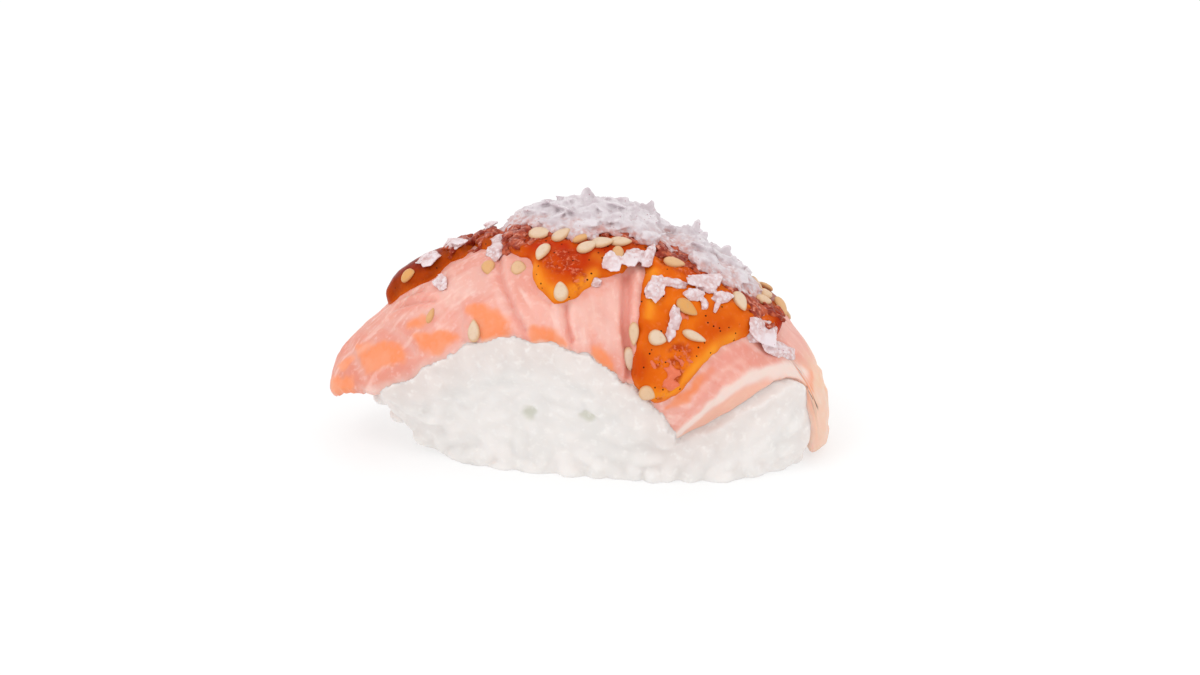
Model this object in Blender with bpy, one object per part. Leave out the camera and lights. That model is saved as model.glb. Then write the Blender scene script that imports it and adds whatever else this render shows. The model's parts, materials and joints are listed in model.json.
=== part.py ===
"""Nigiri: a pad of pressed rice under a draped slice of seared salmon with glaze, sesame seeds and salt flakes.

Units are millimetres in the constants and metres in the meshes. +X is the blunt end of the rice, -Y the side
on which the slice hangs lowest, +Z is up and the rice rests on z = 0.
"""

import math
import random

import bmesh
import bpy
import numpy as np
from mathutils import Matrix, Vector
from mathutils.bvhtree import BVHTree

MM = 0.001
OBJECT_NAME = "nigiri"
SEED = 12

# Driving dimensions of the rice pad
RICE_HALF_LENGTH = 31.3
RICE_HALF_WIDTH = 12.9
RICE_WAIST = 11.5
RICE_CROWN_RISE = 17.4
RICE_SOLE_DROP = 20.0
RICE_PLAN_POWER = 2.8
RICE_UPPER_POWER = 2.1
RICE_LOWER_POWER = 3.0
RICE_SHIFT = (0.5, -0.3)
RICE_FLOOR = -0.5
PROW_LIFT = 5.0
PROW_START = 17.0
PROW_LENGTH = 14.0
PROW_FADE = 20.0

# Driving dimensions of the slice: its ridge line in the plane along its length, as (x, z)
RIDGE = [
    (-34.9, 7.5), (-34.3, 10.5), (-31.6, 14.6), (-27.2, 19.0), (-21.5, 24.2), (-14.0, 28.6), (-6.0, 31.3),
    (1.0, 32.1), (9.0, 30.9), (17.0, 27.6), (24.0, 22.9), (29.8, 17.2), (33.8, 10.6), (35.2, 5.2),
    (35.0, 1.2),
]
RIDGE_LENGTH = 96.0
SLICE_YAW = math.radians(7.0)
EDGE_FLARE = 0.06
SLICE_THICKNESS = 3.3
SLICE_RIM = 1.5
TAIL_THICKNESS = 2.3
TAIL_TAPER = [(0, 0.0), (0.16, 1.0), (0.8, 1.0), (1, 0.0)]
RIM_TAPER = [(0, 0.0), (0.1, 1.0)]
FRAME_STEP = 0.4
# Values at shares of the ridge line
NEAR_DROP = [
    (0, 4.2), (0.08, 5.1), (0.16, 5.7), (0.24, 7.0), (0.32, 8.3), (0.4, 9.9), (0.5, 11.7), (0.6, 13.9),
    (0.7, 15.4), (0.8, 16.8), (1, 17.2),
]
FAR_DROP = [(0, 5.0), (0.2, 9.0), (0.35, 13.0), (0.5, 15.0), (0.65, 14.5), (0.8, 12.0), (1, 9.0)]
HALF_WIDTH = [(0, 10.5), (0.12, 13.0), (0.3, 16.5), (0.5, 17.6), (0.7, 17.0), (0.85, 14.5), (1, 11.0)]
ARCH_RISE = [(0, 9.0), (0.15, 11.0), (0.3, 14.0), (0.5, 16.0), (0.7, 15.0), (0.85, 12.0), (1, 9.0)]
# Where the slice starts and ends along the ridge, from its near edge (-1) to its far edge (1)
START_LINE = [(-1, 0.065), (-0.75, 0.03), (-0.4, 0.0), (0.3, 0.0), (0.7, 0.03), (1, 0.1)]
END_LINE = [
    (-1, 0.780), (-0.7, 0.795), (-0.42, 0.82), (-0.28, 0.885), (-0.16, 0.98), (0, 1.0), (0.5, 1.0),
    (0.8, 0.97), (1, 0.92),
]
CUT_BEVEL = [(-1, 0.030), (-0.4, 0.030), (-0.2, 0.012), (-0.1, 0.0), (1, 0.0)]

# Resting place of the bounding box and clearances
CENTRE = (0.115, 0.53)
GAP = 0.55
CLEAR_HEIGHT = 7.0
CLEAR_DEPTH = 0.7
TABLE_SIZE = (120.0, 80.0, 30.0)
SLICE_CELLS = (34, 14)

# Grains of rice
GRAIN_HALF_SIZE = (3.1, 1.5, 1.45)
GRAIN_SEGMENTS = 5
GRAIN_RINGS = 4
GRAIN_ROWS = [-0.47, -0.33, -0.19, -0.05, 0.1, 0.26, 0.42, 0.58]
GRAIN_SPACING = 5.7
GRAIN_SINK = 0.45
GRAIN_FLOOR = 0.6
GRAIN_SINK_SPREAD = (0.4, 1.6)
GRAIN_GROWTH = (0.9, 1.08)
GRAIN_SWING = 1.1
GRAIN_ACROSS_SHARE = 0.25
GRAIN_TIP = 0.3
ROW_STEPS = 240
ROW_PROBE = 0.04
CORE_CELLS = (24, 12)
COVER_REACH = 9.0

# Glaze: pools as (along, across, half size along, half size across) in mm on the slice, negative across is near
POOLS = [
    (20.5, 2.0, 4.6, 6.2), (27.0, 4.5, 3.4, 5.0), (31.5, 2.0, 2.8, 5.6), (36.5, 0.5, 3.4, 6.6),
    (43.0, -1.0, 5.2, 8.0), (44.8, -7.5, 6.0, 7.0), (48.5, -5.5, 4.6, 5.6), (54.0, 0.0, 6.5, 6.0),
    (61.0, -2.0, 6.0, 7.0), (68.0, -2.0, 7.0, 7.5), (73.5, -2.5, 5.2, 6.0), (63.5, -10.0, 7.0, 7.5),
    (63.5, -16.0, 6.8, 7.5), (65.0, -20.5, 5.2, 5.0), (70.0, -8.5, 5.6, 5.5), (46.0, 7.0, 9.0, 5.5),
    (58.0, 8.0, 9.0, 6.0), (50.0, 12.5, 4.0, 5.5), (69.0, 9.0, 5.0, 7.0), (30.0, 8.0, 6.0, 3.6),
]
GLAZE_SPAN = (13.5, 80.0)
GLAZE_CROSS = (-0.965, 0.8)
GLAZE_INSET = 1.2
GLAZE_CELLS = (32, 20)
GLAZE_HEIGHT = 1.15
GLAZE_DIP = -0.75
GLAZE_RISE = (-0.7, 1.3)
GLAZE_ROOT = -1.35

# Sesame seeds as (along, across, heading in degrees)
SEEDS = [
    (40.8, -1.9, 80), (40.9, -6.1, 72), (37.0, -7.3, 85), (32.8, -5.6, 95), (43.8, -3.1, 60),
    (49.4, -3.9, 50), (51.8, -2.2, 5), (47.4, -6.0, 20), (45.6, -4.4, -25), (52.2, -6.4, 88),
    (43.4, -13.0, 105), (70.6, -4.4, 100), (59.6, -3.9, 10), (63.4, -10.4, -15), (66.6, -13.9, 12),
    (61.0, -17.0, 0), (64.0, -24.0, -8), (57.2, -17.9, 90), (58.6, -21.4, 80), (28.0, -15.0, 78),
    (22.5, -8.9, 60), (73.4, -0.6, 35), (75.4, 1.6, 55), (77.6, -1.2, 70), (20.4, 0.2, 20),
    (40.5, 9.5, 30), (47.0, 13.0, 110), (55.0, 11.0, 65), (62.5, 10.0, 15), (67.5, 13.0, 95),
    (72.5, 8.0, 40), (34.0, 12.0, 75), (25.0, 9.0, 150), (50.5, 17.0, 85), (59.0, 16.5, 20),
    (79.0, 7.5, 120),
]
SEED_HALF_SIZE = (1.62, 1.02, 0.55)
SEED_TAPER = 0.28
SEED_SEGMENTS = 6
SEED_RINGS = 4
SEED_LIFT = 0.18

# Salt flakes lying apart as (along, across, half size along, half size across)
LONE_FLAKES = [
    (53.5, -7.6, 1.9, 2.6), (51.4, -9.6, 1.6, 1.1), (55.2, -5.0, 1.3, 2.0), (58.0, -9.9, 1.7, 1.8),
    (60.2, -7.8, 1.5, 1.2), (63.6, -6.6, 1.4, 2.2), (66.4, -8.6, 1.0, 0.9), (68.6, -6.4, 0.9, 1.6),
    (62.9, -13.7, 1.3, 2.4), (74.6, -6.2, 2.1, 2.4), (78.8, -6.0, 2.0, 1.7), (25.4, -5.0, 1.0, 1.8),
    (34.2, -3.4, 0.9, 2.0), (28.0, 1.5, 1.6, 1.3), (31.0, 6.5, 1.5, 1.2), (42.5, 12.8, 1.5, 1.2),
    (54.5, 14.6, 1.3, 1.9), (64.5, 14.0, 1.7, 1.3), (73.5, 12.0, 1.3, 1.5), (37.5, 14.5, 1.2, 1.4),
]
FLAKE_THICKNESS = 0.62
FLAKE_SIDES = 5
FLAKE_RAGGED = (0.72, 1.2)
FLAKE_TOP = 0.86
LONE_TILT = 0.3
LONE_LIFT = 0.12
# Salt piled on the ridge: height of the pile at places along the slice
PILE_HEIGHT = [(37, 0.5), (42, 1.3), (50, 1.7), (56, 2.6), (62, 2.1), (68, 1.3), (73, 1.3), (77, 0.4)]
PILE_SPAN = (38.0, 76.0)
PILE_ACROSS = (-2.0, 8.5)
PILE_LUMPS = 24
PILE_PLATES = 28
LUMP_HALF_SIZE = (2.3, 1.8, 1.25)
LUMP_RAGGED = (0.8, 1.2)
LUMP_LIFT = 0.15
LUMP_RISE = (0.4, 0.5)
PLATE_HALF_SIZE = (1.2, 1.6)
PLATE_STAND = (0.35, 1.1)
PLATE_LEVEL = 0.8
PLATE_GROWTH = (0.75, 0.2)
GOLDEN_SHARE = 0.6180339887


def at_stations(stations, share):
    """Value between hand-set stations, eased from one to the next."""
    if share <= stations[0][0]:
        return stations[0][1]
    for (left, low), (right, high) in zip(stations, stations[1:]):
        if share <= right:
            blend = (share - left) / (right - left)
            blend = blend * blend * (3 - 2 * blend)
            return low + (high - low) * blend
    return stations[-1][1]


def spline_through(points):
    """Natural cubic curve through points, as a function of the share of its length."""
    knots = np.array(points, float)
    steps = np.sqrt((np.diff(knots, axis=0) ** 2).sum(axis=1))
    shares = np.concatenate([[0.0], np.cumsum(steps)]) / steps.sum()
    spans = np.diff(shares)
    count = len(knots)
    matrix = np.eye(count)
    target = np.zeros_like(knots)
    for row in range(1, count - 1):
        matrix[row, row - 1:row + 2] = (spans[row - 1], 2 * (spans[row - 1] + spans[row]), spans[row])
        target[row] = 3 * ((knots[row + 1] - knots[row]) / spans[row] - (knots[row] - knots[row - 1]) / spans[row - 1])
    bend = np.linalg.solve(matrix, target)
    slope = (knots[1:] - knots[:-1]) / spans[:, None] - spans[:, None] * (2 * bend[:-1] + bend[1:]) / 3
    twist = (bend[1:] - bend[:-1]) / (3 * spans[:, None])

    def point(share):
        cell = min(max(int(np.searchsorted(shares, share, side="right")) - 1, 0), count - 2)
        step = share - shares[cell]
        return knots[cell] + slope[cell] * step + bend[cell] * step ** 2 + twist[cell] * step ** 3

    return point


ridge_point = spline_through(RIDGE)


def half_arc(share, far):
    """Length across the slice from its ridge to its far or near edge."""
    rise = at_stations(ARCH_RISE, share)
    drop = at_stations(FAR_DROP if far else NEAR_DROP, share)
    turn = math.acos(1 - drop / rise) if drop < rise else math.pi / 2 + (drop - rise) / rise
    return turn * (rise + at_stations(HALF_WIDTH, share)) / 2


def top_point(along, across):
    """Point of the slice's top face, in mm, from mm along its ridge and mm across it."""
    share = along / RIDGE_LENGTH
    x, z = ridge_point(share)
    ahead = ridge_point(share + 0.001) - ridge_point(share - 0.001)
    ahead = ahead / np.linalg.norm(ahead)
    width = at_stations(HALF_WIDTH, share)
    rise = at_stations(ARCH_RISE, share)
    side = math.copysign(1.0, across)
    turn = abs(across) * 2 / (rise + width)
    bend = min(turn, math.pi / 2)
    over = turn - bend
    sideways = side * (width * math.sin(bend) + EDGE_FLARE * over * rise)
    down = rise * (1 - math.cos(bend) + over)
    x = x + ahead[1] * down
    z = z - ahead[0] * down
    cosine = math.cos(SLICE_YAW)
    sine = math.sin(SLICE_YAW)
    return Vector((x * cosine - sideways * sine, x * sine + sideways * cosine, z))


def top_frame(along, across):
    """Point of the top face with its outward, lengthwise and crosswise directions."""
    lengthwise = top_point(along + FRAME_STEP, across) - top_point(along - FRAME_STEP, across)
    crosswise = top_point(along, across + FRAME_STEP) - top_point(along, across - FRAME_STEP)
    outward = lengthwise.cross(crosswise).normalized()
    lengthwise.normalize()
    return top_point(along, across), outward, lengthwise, outward.cross(lengthwise)


def slice_place(share, cross, bevelled):
    """Along and across in mm at shares of the slice's own outline, share 0 to 1 and cross -1 to 1."""
    start = at_stations(START_LINE, cross)
    end = at_stations(END_LINE, cross)
    if bevelled:
        end = end + at_stations(CUT_BEVEL, cross)
    along_share = start + (end - start) * share
    across = cross * half_arc(min(max(along_share, 0.0), 1.0), cross > 0)
    return along_share * RIDGE_LENGTH, across


def slice_depth(share, cross):
    """Thickness of the slice there: thinner in the tails and at the rim."""
    middle = TAIL_THICKNESS + (SLICE_THICKNESS - TAIL_THICKNESS) * at_stations(TAIL_TAPER, share)
    return SLICE_RIM + (middle - SLICE_RIM) * at_stations(RIM_TAPER, min(share, 1 - abs(cross)))


def glaze_field(along, across):
    """Distance in mm, near enough, inside the edge of the glaze: negative outside it."""
    field = -9.0
    for centre_along, centre_across, half_along, half_across in POOLS:
        reach = math.hypot((along - centre_along) / half_along, (across - centre_across) / half_across)
        field = max(field, (1 - reach) * min(half_along, half_across))
    return field


def glaze_height(along, across):
    low, high = GLAZE_RISE
    blend = min(max((glaze_field(along, across) - low) / (high - low), 0.0), 1.0)
    blend = blend * blend * (3 - 2 * blend)
    return GLAZE_DIP + (GLAZE_HEIGHT - GLAZE_DIP) * blend


def rice_core_point(direction):
    """Where the smooth rice pad's surface lies in a direction from its middle."""
    power = RICE_UPPER_POWER if direction.z > 0 else RICE_LOWER_POWER
    plan = abs(direction.x) ** RICE_PLAN_POWER + abs(direction.y) ** RICE_PLAN_POWER
    reach = (plan ** (power / RICE_PLAN_POWER) + abs(direction.z) ** power) ** (-1 / power)
    x = RICE_HALF_LENGTH * reach * direction.x
    y = RICE_HALF_WIDTH * reach * direction.y
    z = RICE_WAIST + (RICE_CROWN_RISE if direction.z > 0 else RICE_SOLE_DROP) * reach * direction.z
    z = max(z, RICE_FLOOR)
    prow = min(max((-x - PROW_START) / PROW_LENGTH, 0.0), 1.0)
    z = z + PROW_LIFT * prow ** 2 * min(max(1 - z / PROW_FADE, 0.0), 1.0)
    return Vector((x + RICE_SHIFT[0], y + RICE_SHIFT[1], z))


def make_material(name, colour, roughness, coat=0.0, transmission=0.0):
    material = bpy.data.materials.new(name)
    material.use_nodes = True
    shader = material.node_tree.nodes["Principled BSDF"]
    shader.inputs["Base Color"].default_value = (*colour, 1.0)
    shader.inputs["Roughness"].default_value = roughness
    shader.inputs["Coat Weight"].default_value = coat
    shader.inputs["Transmission Weight"].default_value = transmission
    return material


def add_object(name, bm, collection, material):
    bmesh.ops.recalc_face_normals(bm, faces=bm.faces[:])
    mesh = bpy.data.meshes.new(name)
    bm.to_mesh(mesh)
    bm.free()
    mesh.materials.append(material)
    obj = bpy.data.objects.new(name, mesh)
    collection.objects.link(obj)
    return obj


def placed(point):
    return (Vector(point) - Vector((CENTRE[0], CENTRE[1], 0.0))) * MM


def closed_sheet(name, cells, upper, lower, collection, material):
    """Closed sheet between two faces; each face is a function of shares (0 to 1, -1 to 1) that gives a point."""
    bm = bmesh.new()
    bmesh.ops.create_grid(bm, x_segments=cells[0], y_segments=cells[1], size=0.5)
    raised = bmesh.ops.extrude_face_region(bm, geom=bm.faces[:], use_keep_orig=True)["geom"]
    raised = {vertex for vertex in raised if isinstance(vertex, bmesh.types.BMVert)}
    for vertex in bm.verts:
        face = upper if vertex in raised else lower
        vertex.co = placed(face(vertex.co.x + 0.5, vertex.co.y * 2))
    return add_object(name, bm, collection, material)


def slice_sheet(name, lift, depth, collection, material):
    """The slice itself, or with a lift the space over it, down to this depth below its top face."""
    def upper(share, cross):
        point, outward, _, _ = top_frame(*slice_place(share, cross, lift > 0))
        return point + outward * lift

    def lower(share, cross):
        point, outward, _, _ = top_frame(*slice_place(share, cross, True))
        return point - outward * (depth or slice_depth(share, cross))

    return closed_sheet(name, SLICE_CELLS, upper, lower, collection, material)


def inflated(obj, name, gap, collection, material):
    """Copy of a solid with its surface moved out by a gap."""
    bm = bmesh.new()
    bm.from_mesh(obj.data)
    bm.normal_update()
    moved = [vertex.co + vertex.normal * gap * MM * vertex.calc_shell_factor() for vertex in bm.verts]
    for vertex, place in zip(bm.verts, moved):
        vertex.co = place
    return add_object(name, bm, collection, material)


def glaze_sheet(collection, material):
    """Sheet that stands over the slice in the pools of glaze and dips into it between them."""
    def place(share, cross):
        cross = GLAZE_CROSS[0] + (GLAZE_CROSS[1] - GLAZE_CROSS[0]) * (cross + 1) / 2
        end = min(GLAZE_SPAN[1], at_stations(END_LINE, cross) * RIDGE_LENGTH - GLAZE_INSET)
        along = GLAZE_SPAN[0] + (end - GLAZE_SPAN[0]) * share
        return along, cross * half_arc(along / RIDGE_LENGTH, cross > 0)

    def upper(share, cross):
        along, across = place(share, cross)
        point, outward, _, _ = top_frame(along, across)
        return point + outward * glaze_height(along, across)

    def lower(share, cross):
        point, outward, _, _ = top_frame(*place(share, cross))
        return point + outward * GLAZE_ROOT

    return closed_sheet("glaze", GLAZE_CELLS, upper, lower, collection, material)


def on_slice(along, across, lift):
    """Matrix, in mm, with its Z outward and its X along the slice, lifted from whatever lies highest there."""
    point, outward, lengthwise, crosswise = top_frame(along, across)
    point = point + outward * (max(glaze_height(along, across), 0.0) + lift)
    columns = Matrix((lengthwise, crosswise, outward)).transposed().to_4x4()
    return Matrix.Translation(point) @ columns


def seed(index, along, across, heading, collection, material):
    """Sesame seed: a flattened drop, lying on the glaze."""
    bm = bmesh.new()
    bmesh.ops.create_uvsphere(bm, u_segments=SEED_SEGMENTS, v_segments=SEED_RINGS, radius=1.0)
    bmesh.ops.rotate(bm, verts=bm.verts[:], matrix=Matrix.Rotation(math.pi / 2, 3, "Y"))
    place = on_slice(along, across, SEED_LIFT) @ Matrix.Rotation(math.radians(heading), 4, "Z")
    for vertex in bm.verts:
        narrow = 1 - SEED_TAPER * vertex.co.x
        size = Vector((SEED_HALF_SIZE[0], SEED_HALF_SIZE[1] * narrow, SEED_HALF_SIZE[2] * narrow))
        vertex.co = placed(place @ (vertex.co * size))
    return add_object("seed_%02d" % index, bm, collection, material)


def flake(name, place, half_length, half_width, draw, collection, material):
    """Flat salt crystal with a jagged outline."""
    bm = bmesh.new()
    bmesh.ops.create_circle(bm, cap_ends=True, segments=FLAKE_SIDES, radius=1.0)
    for vertex in bm.verts:
        vertex.co *= draw.uniform(*FLAKE_RAGGED)
    top = bmesh.ops.extrude_face_region(bm, geom=bm.faces[:], use_keep_orig=True)["geom"]
    top = {vertex for vertex in top if isinstance(vertex, bmesh.types.BMVert)}
    for vertex in bm.verts:
        height = FLAKE_THICKNESS / 2 if vertex in top else -FLAKE_THICKNESS / 2
        spread = FLAKE_TOP if vertex in top else 1.0
        x = vertex.co.x * half_length * spread
        y = vertex.co.y * half_width * spread
        vertex.co = placed(place @ Vector((x, y, height)))
    return add_object(name, bm, collection, material)


def lump(name, place, half_size, draw, collection, material):
    """Rough salt crystal cluster."""
    bm = bmesh.new()
    bmesh.ops.create_icosphere(bm, subdivisions=1, radius=1.0)
    for vertex in bm.verts:
        vertex.co *= draw.uniform(*LUMP_RAGGED)
        vertex.co = placed(place @ (vertex.co * Vector(half_size)))
    return add_object(name, bm, collection, material)


def salt(collection, material):
    """Lone flakes on the glaze, then a pile on the ridge: lumps below, thin plates standing out of them."""
    draw = random.Random(SEED)
    for index, (along, across, half_length, half_width) in enumerate(LONE_FLAKES):
        tilt = Matrix.Rotation(draw.uniform(-LONE_TILT, LONE_TILT), 4, "X")
        tilt = tilt @ Matrix.Rotation(draw.uniform(-LONE_TILT, LONE_TILT), 4, "Y")
        place = on_slice(along, across, LONE_LIFT) @ tilt
        flake("flake_%02d" % index, place, half_length, half_width, draw, collection, material)
    for index in range(PILE_LUMPS + PILE_PLATES):
        plate = index >= PILE_LUMPS
        share = (index - PILE_LUMPS * plate + 0.5) / (PILE_PLATES if plate else PILE_LUMPS)
        along = PILE_SPAN[0] + (PILE_SPAN[1] - PILE_SPAN[0]) * share
        cross = (index * GOLDEN_SHARE) % 1.0
        across = PILE_ACROSS[0] + (PILE_ACROSS[1] - PILE_ACROSS[0]) * cross
        height = at_stations(PILE_HEIGHT, along)
        turn = Matrix.Rotation(draw.uniform(0, math.tau), 4, "Z")
        if plate:
            stand = Matrix.Rotation(draw.uniform(*PLATE_STAND), 4, "X")
            place = on_slice(along, across, height * PLATE_LEVEL) @ turn @ stand
            grow = PLATE_GROWTH[0] + PLATE_GROWTH[1] * height
            half_length = PLATE_HALF_SIZE[0] * grow
            half_width = PLATE_HALF_SIZE[1] * grow
            flake("plate_%02d" % index, place, half_length, half_width, draw, collection, material)
        else:
            rise = LUMP_HALF_SIZE[2] * (LUMP_RISE[0] + LUMP_RISE[1] * height)
            place = on_slice(along, across, LUMP_LIFT) @ turn
            lump("lump_%02d" % index, place, (LUMP_HALF_SIZE[0], LUMP_HALF_SIZE[1], rise), draw, collection, material)


def rice_core(collection, material):
    bm = bmesh.new()
    bmesh.ops.create_uvsphere(bm, u_segments=CORE_CELLS[0], v_segments=CORE_CELLS[1], radius=1.0)
    for vertex in bm.verts:
        vertex.co = placed(rice_core_point(vertex.co.normalized()))
    return add_object("rice", bm, collection, material)


def grain(index, place, draw, collection, material):
    bm = bmesh.new()
    bmesh.ops.create_uvsphere(bm, u_segments=GRAIN_SEGMENTS, v_segments=GRAIN_RINGS, radius=1.0)
    bmesh.ops.rotate(bm, verts=bm.verts[:], matrix=Matrix.Rotation(math.pi / 2, 3, "Y"))
    size = Vector(GRAIN_HALF_SIZE) * draw.uniform(*GRAIN_GROWTH)
    for vertex in bm.verts:
        vertex.co = placed(place @ (vertex.co * size))
    return add_object("grain_%03d" % index, bm, collection, material)


def rice_grains(cover, collection, material):
    """Rows of grains round the pad, each lying in its surface, left out under the slice."""
    draw = random.Random(SEED + 1)
    count = 0
    for row, height in enumerate(GRAIN_ROWS):
        level = math.cos(height)
        ring = []
        for step in range(ROW_STEPS + 1):
            turn = math.tau * step / ROW_STEPS
            direction = Vector((math.cos(turn) * level, math.sin(turn) * level, math.sin(height)))
            ring.append(direction)
        walked = GRAIN_SPACING * draw.random()
        for first, second in zip(ring, ring[1:]):
            here = rice_core_point(first)
            ahead = rice_core_point(second) - here
            walked += ahead.length
            if walked < GRAIN_SPACING:
                continue
            walked -= GRAIN_SPACING
            above = rice_core_point((first + Vector((0, 0, ROW_PROBE))).normalized()) - here
            outward = ahead.cross(above).normalized()
            if here.z < GRAIN_FLOOR or cover.ray_cast(placed(here), outward, COVER_REACH * MM)[0]:
                continue
            lengthwise = ahead.normalized()
            columns = Matrix((lengthwise, outward.cross(lengthwise), outward)).transposed().to_4x4()
            quarter = math.pi / 2 if draw.random() < GRAIN_ACROSS_SHARE else 0.0
            swing = Matrix.Rotation(draw.uniform(-GRAIN_SWING, GRAIN_SWING) + quarter, 4, "Z")
            tip = Matrix.Rotation(draw.uniform(-GRAIN_TIP, GRAIN_TIP), 4, "Y")
            sunk = here - outward * GRAIN_SINK * draw.uniform(*GRAIN_SINK_SPREAD)
            grain(count, Matrix.Translation(sunk) @ columns @ swing @ tip, draw, collection, material)
            count += 1
    return count


def table(collection, material):
    """Block below z = 0 that cuts the flat resting face."""
    bm = bmesh.new()
    bmesh.ops.create_cube(bm, size=1.0)
    for vertex in bm.verts:
        x, y, z = vertex.co
        vertex.co = placed((x * TABLE_SIZE[0], y * TABLE_SIZE[1], (z - 0.5) * TABLE_SIZE[2]))
    return add_object("table_cut", bm, collection, material)


def boolean(obj, operation, other=None, group=None):
    modifier = obj.modifiers.new(operation.lower(), "BOOLEAN")
    modifier.operation = operation
    modifier.solver = "EXACT"
    if group:
        modifier.operand_type = "COLLECTION"
        modifier.collection = group
    else:
        modifier.object = other
    bpy.context.view_layer.update()
    graph = bpy.context.evaluated_depsgraph_get()
    mesh = bpy.data.meshes.new_from_object(obj.evaluated_get(graph))
    obj.modifiers.clear()
    mesh.name = obj.name
    obj.data = mesh


def empty_collection(collection):
    for obj in list(collection.objects):
        bpy.data.objects.remove(obj, do_unlink=True)
    bpy.data.collections.remove(collection)


def keep_largest_piece(obj):
    """Drops the loose scraps that a cut leaves."""
    bm = bmesh.new()
    bm.from_mesh(obj.data)
    waiting = set(bm.verts)
    pieces = []
    while waiting:
        stack = [waiting.pop()]
        piece = set(stack)
        while stack:
            for edge in stack.pop().link_edges:
                for vertex in edge.verts:
                    if vertex not in piece:
                        piece.add(vertex)
                        stack.append(vertex)
        waiting -= piece
        pieces.append(piece)
    pieces.sort(key=len)
    for piece in pieces[:-1]:
        bmesh.ops.delete(bm, geom=list(piece), context="VERTS")
    bm.to_mesh(obj.data)
    bm.free()
    return len(pieces) - 1


def new_collection(name, parent=None):
    collection = bpy.data.collections.new(name)
    (parent or bpy.context.scene.collection).children.link(collection)
    return collection


def main():
    for obj in list(bpy.data.objects):
        bpy.data.objects.remove(obj, do_unlink=True)
    whole = new_collection(OBJECT_NAME)
    toppings = new_collection("toppings")
    grains = new_collection("grains")
    cutters = new_collection("cutters")

    rice_white = make_material("rice", (0.82, 0.78, 0.74), 0.45)
    salmon_pink = make_material("salmon", (0.86, 0.42, 0.33), 0.3, coat=0.4)
    glaze_amber = make_material("glaze", (0.55, 0.12, 0.03), 0.15, coat=0.8)
    seed_cream = make_material("sesame", (0.80, 0.62, 0.42), 0.5)
    salt_white = make_material("salt", (0.74, 0.68, 0.70), 0.4)

    salmon = slice_sheet("salmon", 0.0, None, whole, salmon_pink)
    carve = inflated(salmon, "carve_cut", GAP, cutters, salmon_pink)
    clear = slice_sheet("clear_cut", CLEAR_HEIGHT, CLEAR_DEPTH, cutters, salmon_pink)
    covered = salmon.data
    cover = BVHTree.FromPolygons([v.co for v in covered.vertices], [p.vertices for p in covered.polygons])

    glaze_sheet(toppings, glaze_amber)
    for index, (along, across, heading) in enumerate(SEEDS):
        seed(index, along, across, heading, toppings, seed_cream)
    salt(toppings, salt_white)
    boolean(salmon, "UNION", group=toppings)
    print("scraps dropped from the slice:", keep_largest_piece(salmon))

    rice = rice_core(whole, rice_white)
    print("grains:", rice_grains(cover, grains, rice_white))
    boolean(rice, "UNION", group=grains)
    keep_largest_piece(rice)
    for cutter in (clear, carve, table(cutters, rice_white)):
        boolean(rice, "DIFFERENCE", other=cutter)
    print("scraps dropped from the rice:", keep_largest_piece(rice))

    for collection in (toppings, grains, cutters):
        empty_collection(collection)
    for obj in whole.objects:
        obj.data.calc_loop_triangles()
        corners = np.array([vertex.co for vertex in obj.data.vertices]) / MM
        print(obj.name, len(obj.data.loop_triangles), "triangles", corners.min(axis=0).round(2), corners.max(axis=0).round(2))


main()
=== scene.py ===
"""Looks of the nigiri: seared salmon with glaze, sesame seeds and flaky salt over a pad of pressed rice.

Shapes are worked out in millimetres, as along and across the slice where they lie on it, and turned into
metres when a piece is made. +X is the blunt end of the rice, -Y the near side, +Z up, and the rice rests on
z = 0. Random numbers are drawn in a set order, so that each run gives the same part.
"""

import json
import math

import bpy
import numpy as np
from mathutils import Matrix, Vector
from mathutils.bvhtree import BVHTree
from mathutils.kdtree import KDTree

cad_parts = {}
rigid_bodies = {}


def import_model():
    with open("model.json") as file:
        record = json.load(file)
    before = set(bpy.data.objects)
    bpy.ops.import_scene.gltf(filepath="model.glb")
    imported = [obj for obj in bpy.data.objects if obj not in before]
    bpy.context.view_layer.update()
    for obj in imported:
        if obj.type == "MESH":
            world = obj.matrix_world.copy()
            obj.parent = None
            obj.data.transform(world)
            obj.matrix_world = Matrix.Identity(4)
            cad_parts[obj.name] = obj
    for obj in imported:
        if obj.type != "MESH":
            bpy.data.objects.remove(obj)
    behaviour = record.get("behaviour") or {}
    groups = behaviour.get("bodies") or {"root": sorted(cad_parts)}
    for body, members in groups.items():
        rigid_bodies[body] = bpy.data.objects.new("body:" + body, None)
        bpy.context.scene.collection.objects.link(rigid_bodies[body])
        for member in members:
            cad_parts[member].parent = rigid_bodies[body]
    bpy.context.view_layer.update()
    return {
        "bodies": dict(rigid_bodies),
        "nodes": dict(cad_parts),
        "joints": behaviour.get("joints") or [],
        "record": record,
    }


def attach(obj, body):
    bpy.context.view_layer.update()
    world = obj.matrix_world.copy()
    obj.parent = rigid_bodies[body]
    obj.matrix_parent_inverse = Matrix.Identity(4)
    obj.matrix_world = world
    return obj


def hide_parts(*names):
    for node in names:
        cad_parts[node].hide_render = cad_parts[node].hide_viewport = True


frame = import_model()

MM = 0.001
SEED = 7
# Size of the tables of random values behind all unevenness
LUMPS = (64, 64)

# The drape of the slice, as in the CAD: its ridge line as (x, z), and values at shares of that line
CENTRE = (0.115, 0.53)
RIDGE = [
    (-34.9, 7.5), (-34.3, 10.5), (-31.6, 14.6), (-27.2, 19.0), (-21.5, 24.2), (-14.0, 28.6), (-6.0, 31.3),
    (1.0, 32.1), (9.0, 30.9), (17.0, 27.6), (24.0, 22.9), (29.8, 17.2), (33.8, 10.6), (35.2, 5.2),
    (35.0, 1.2),
]
RIDGE_LENGTH = 96.0
SLICE_YAW = math.radians(7.0)
EDGE_FLARE = 0.06
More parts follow.
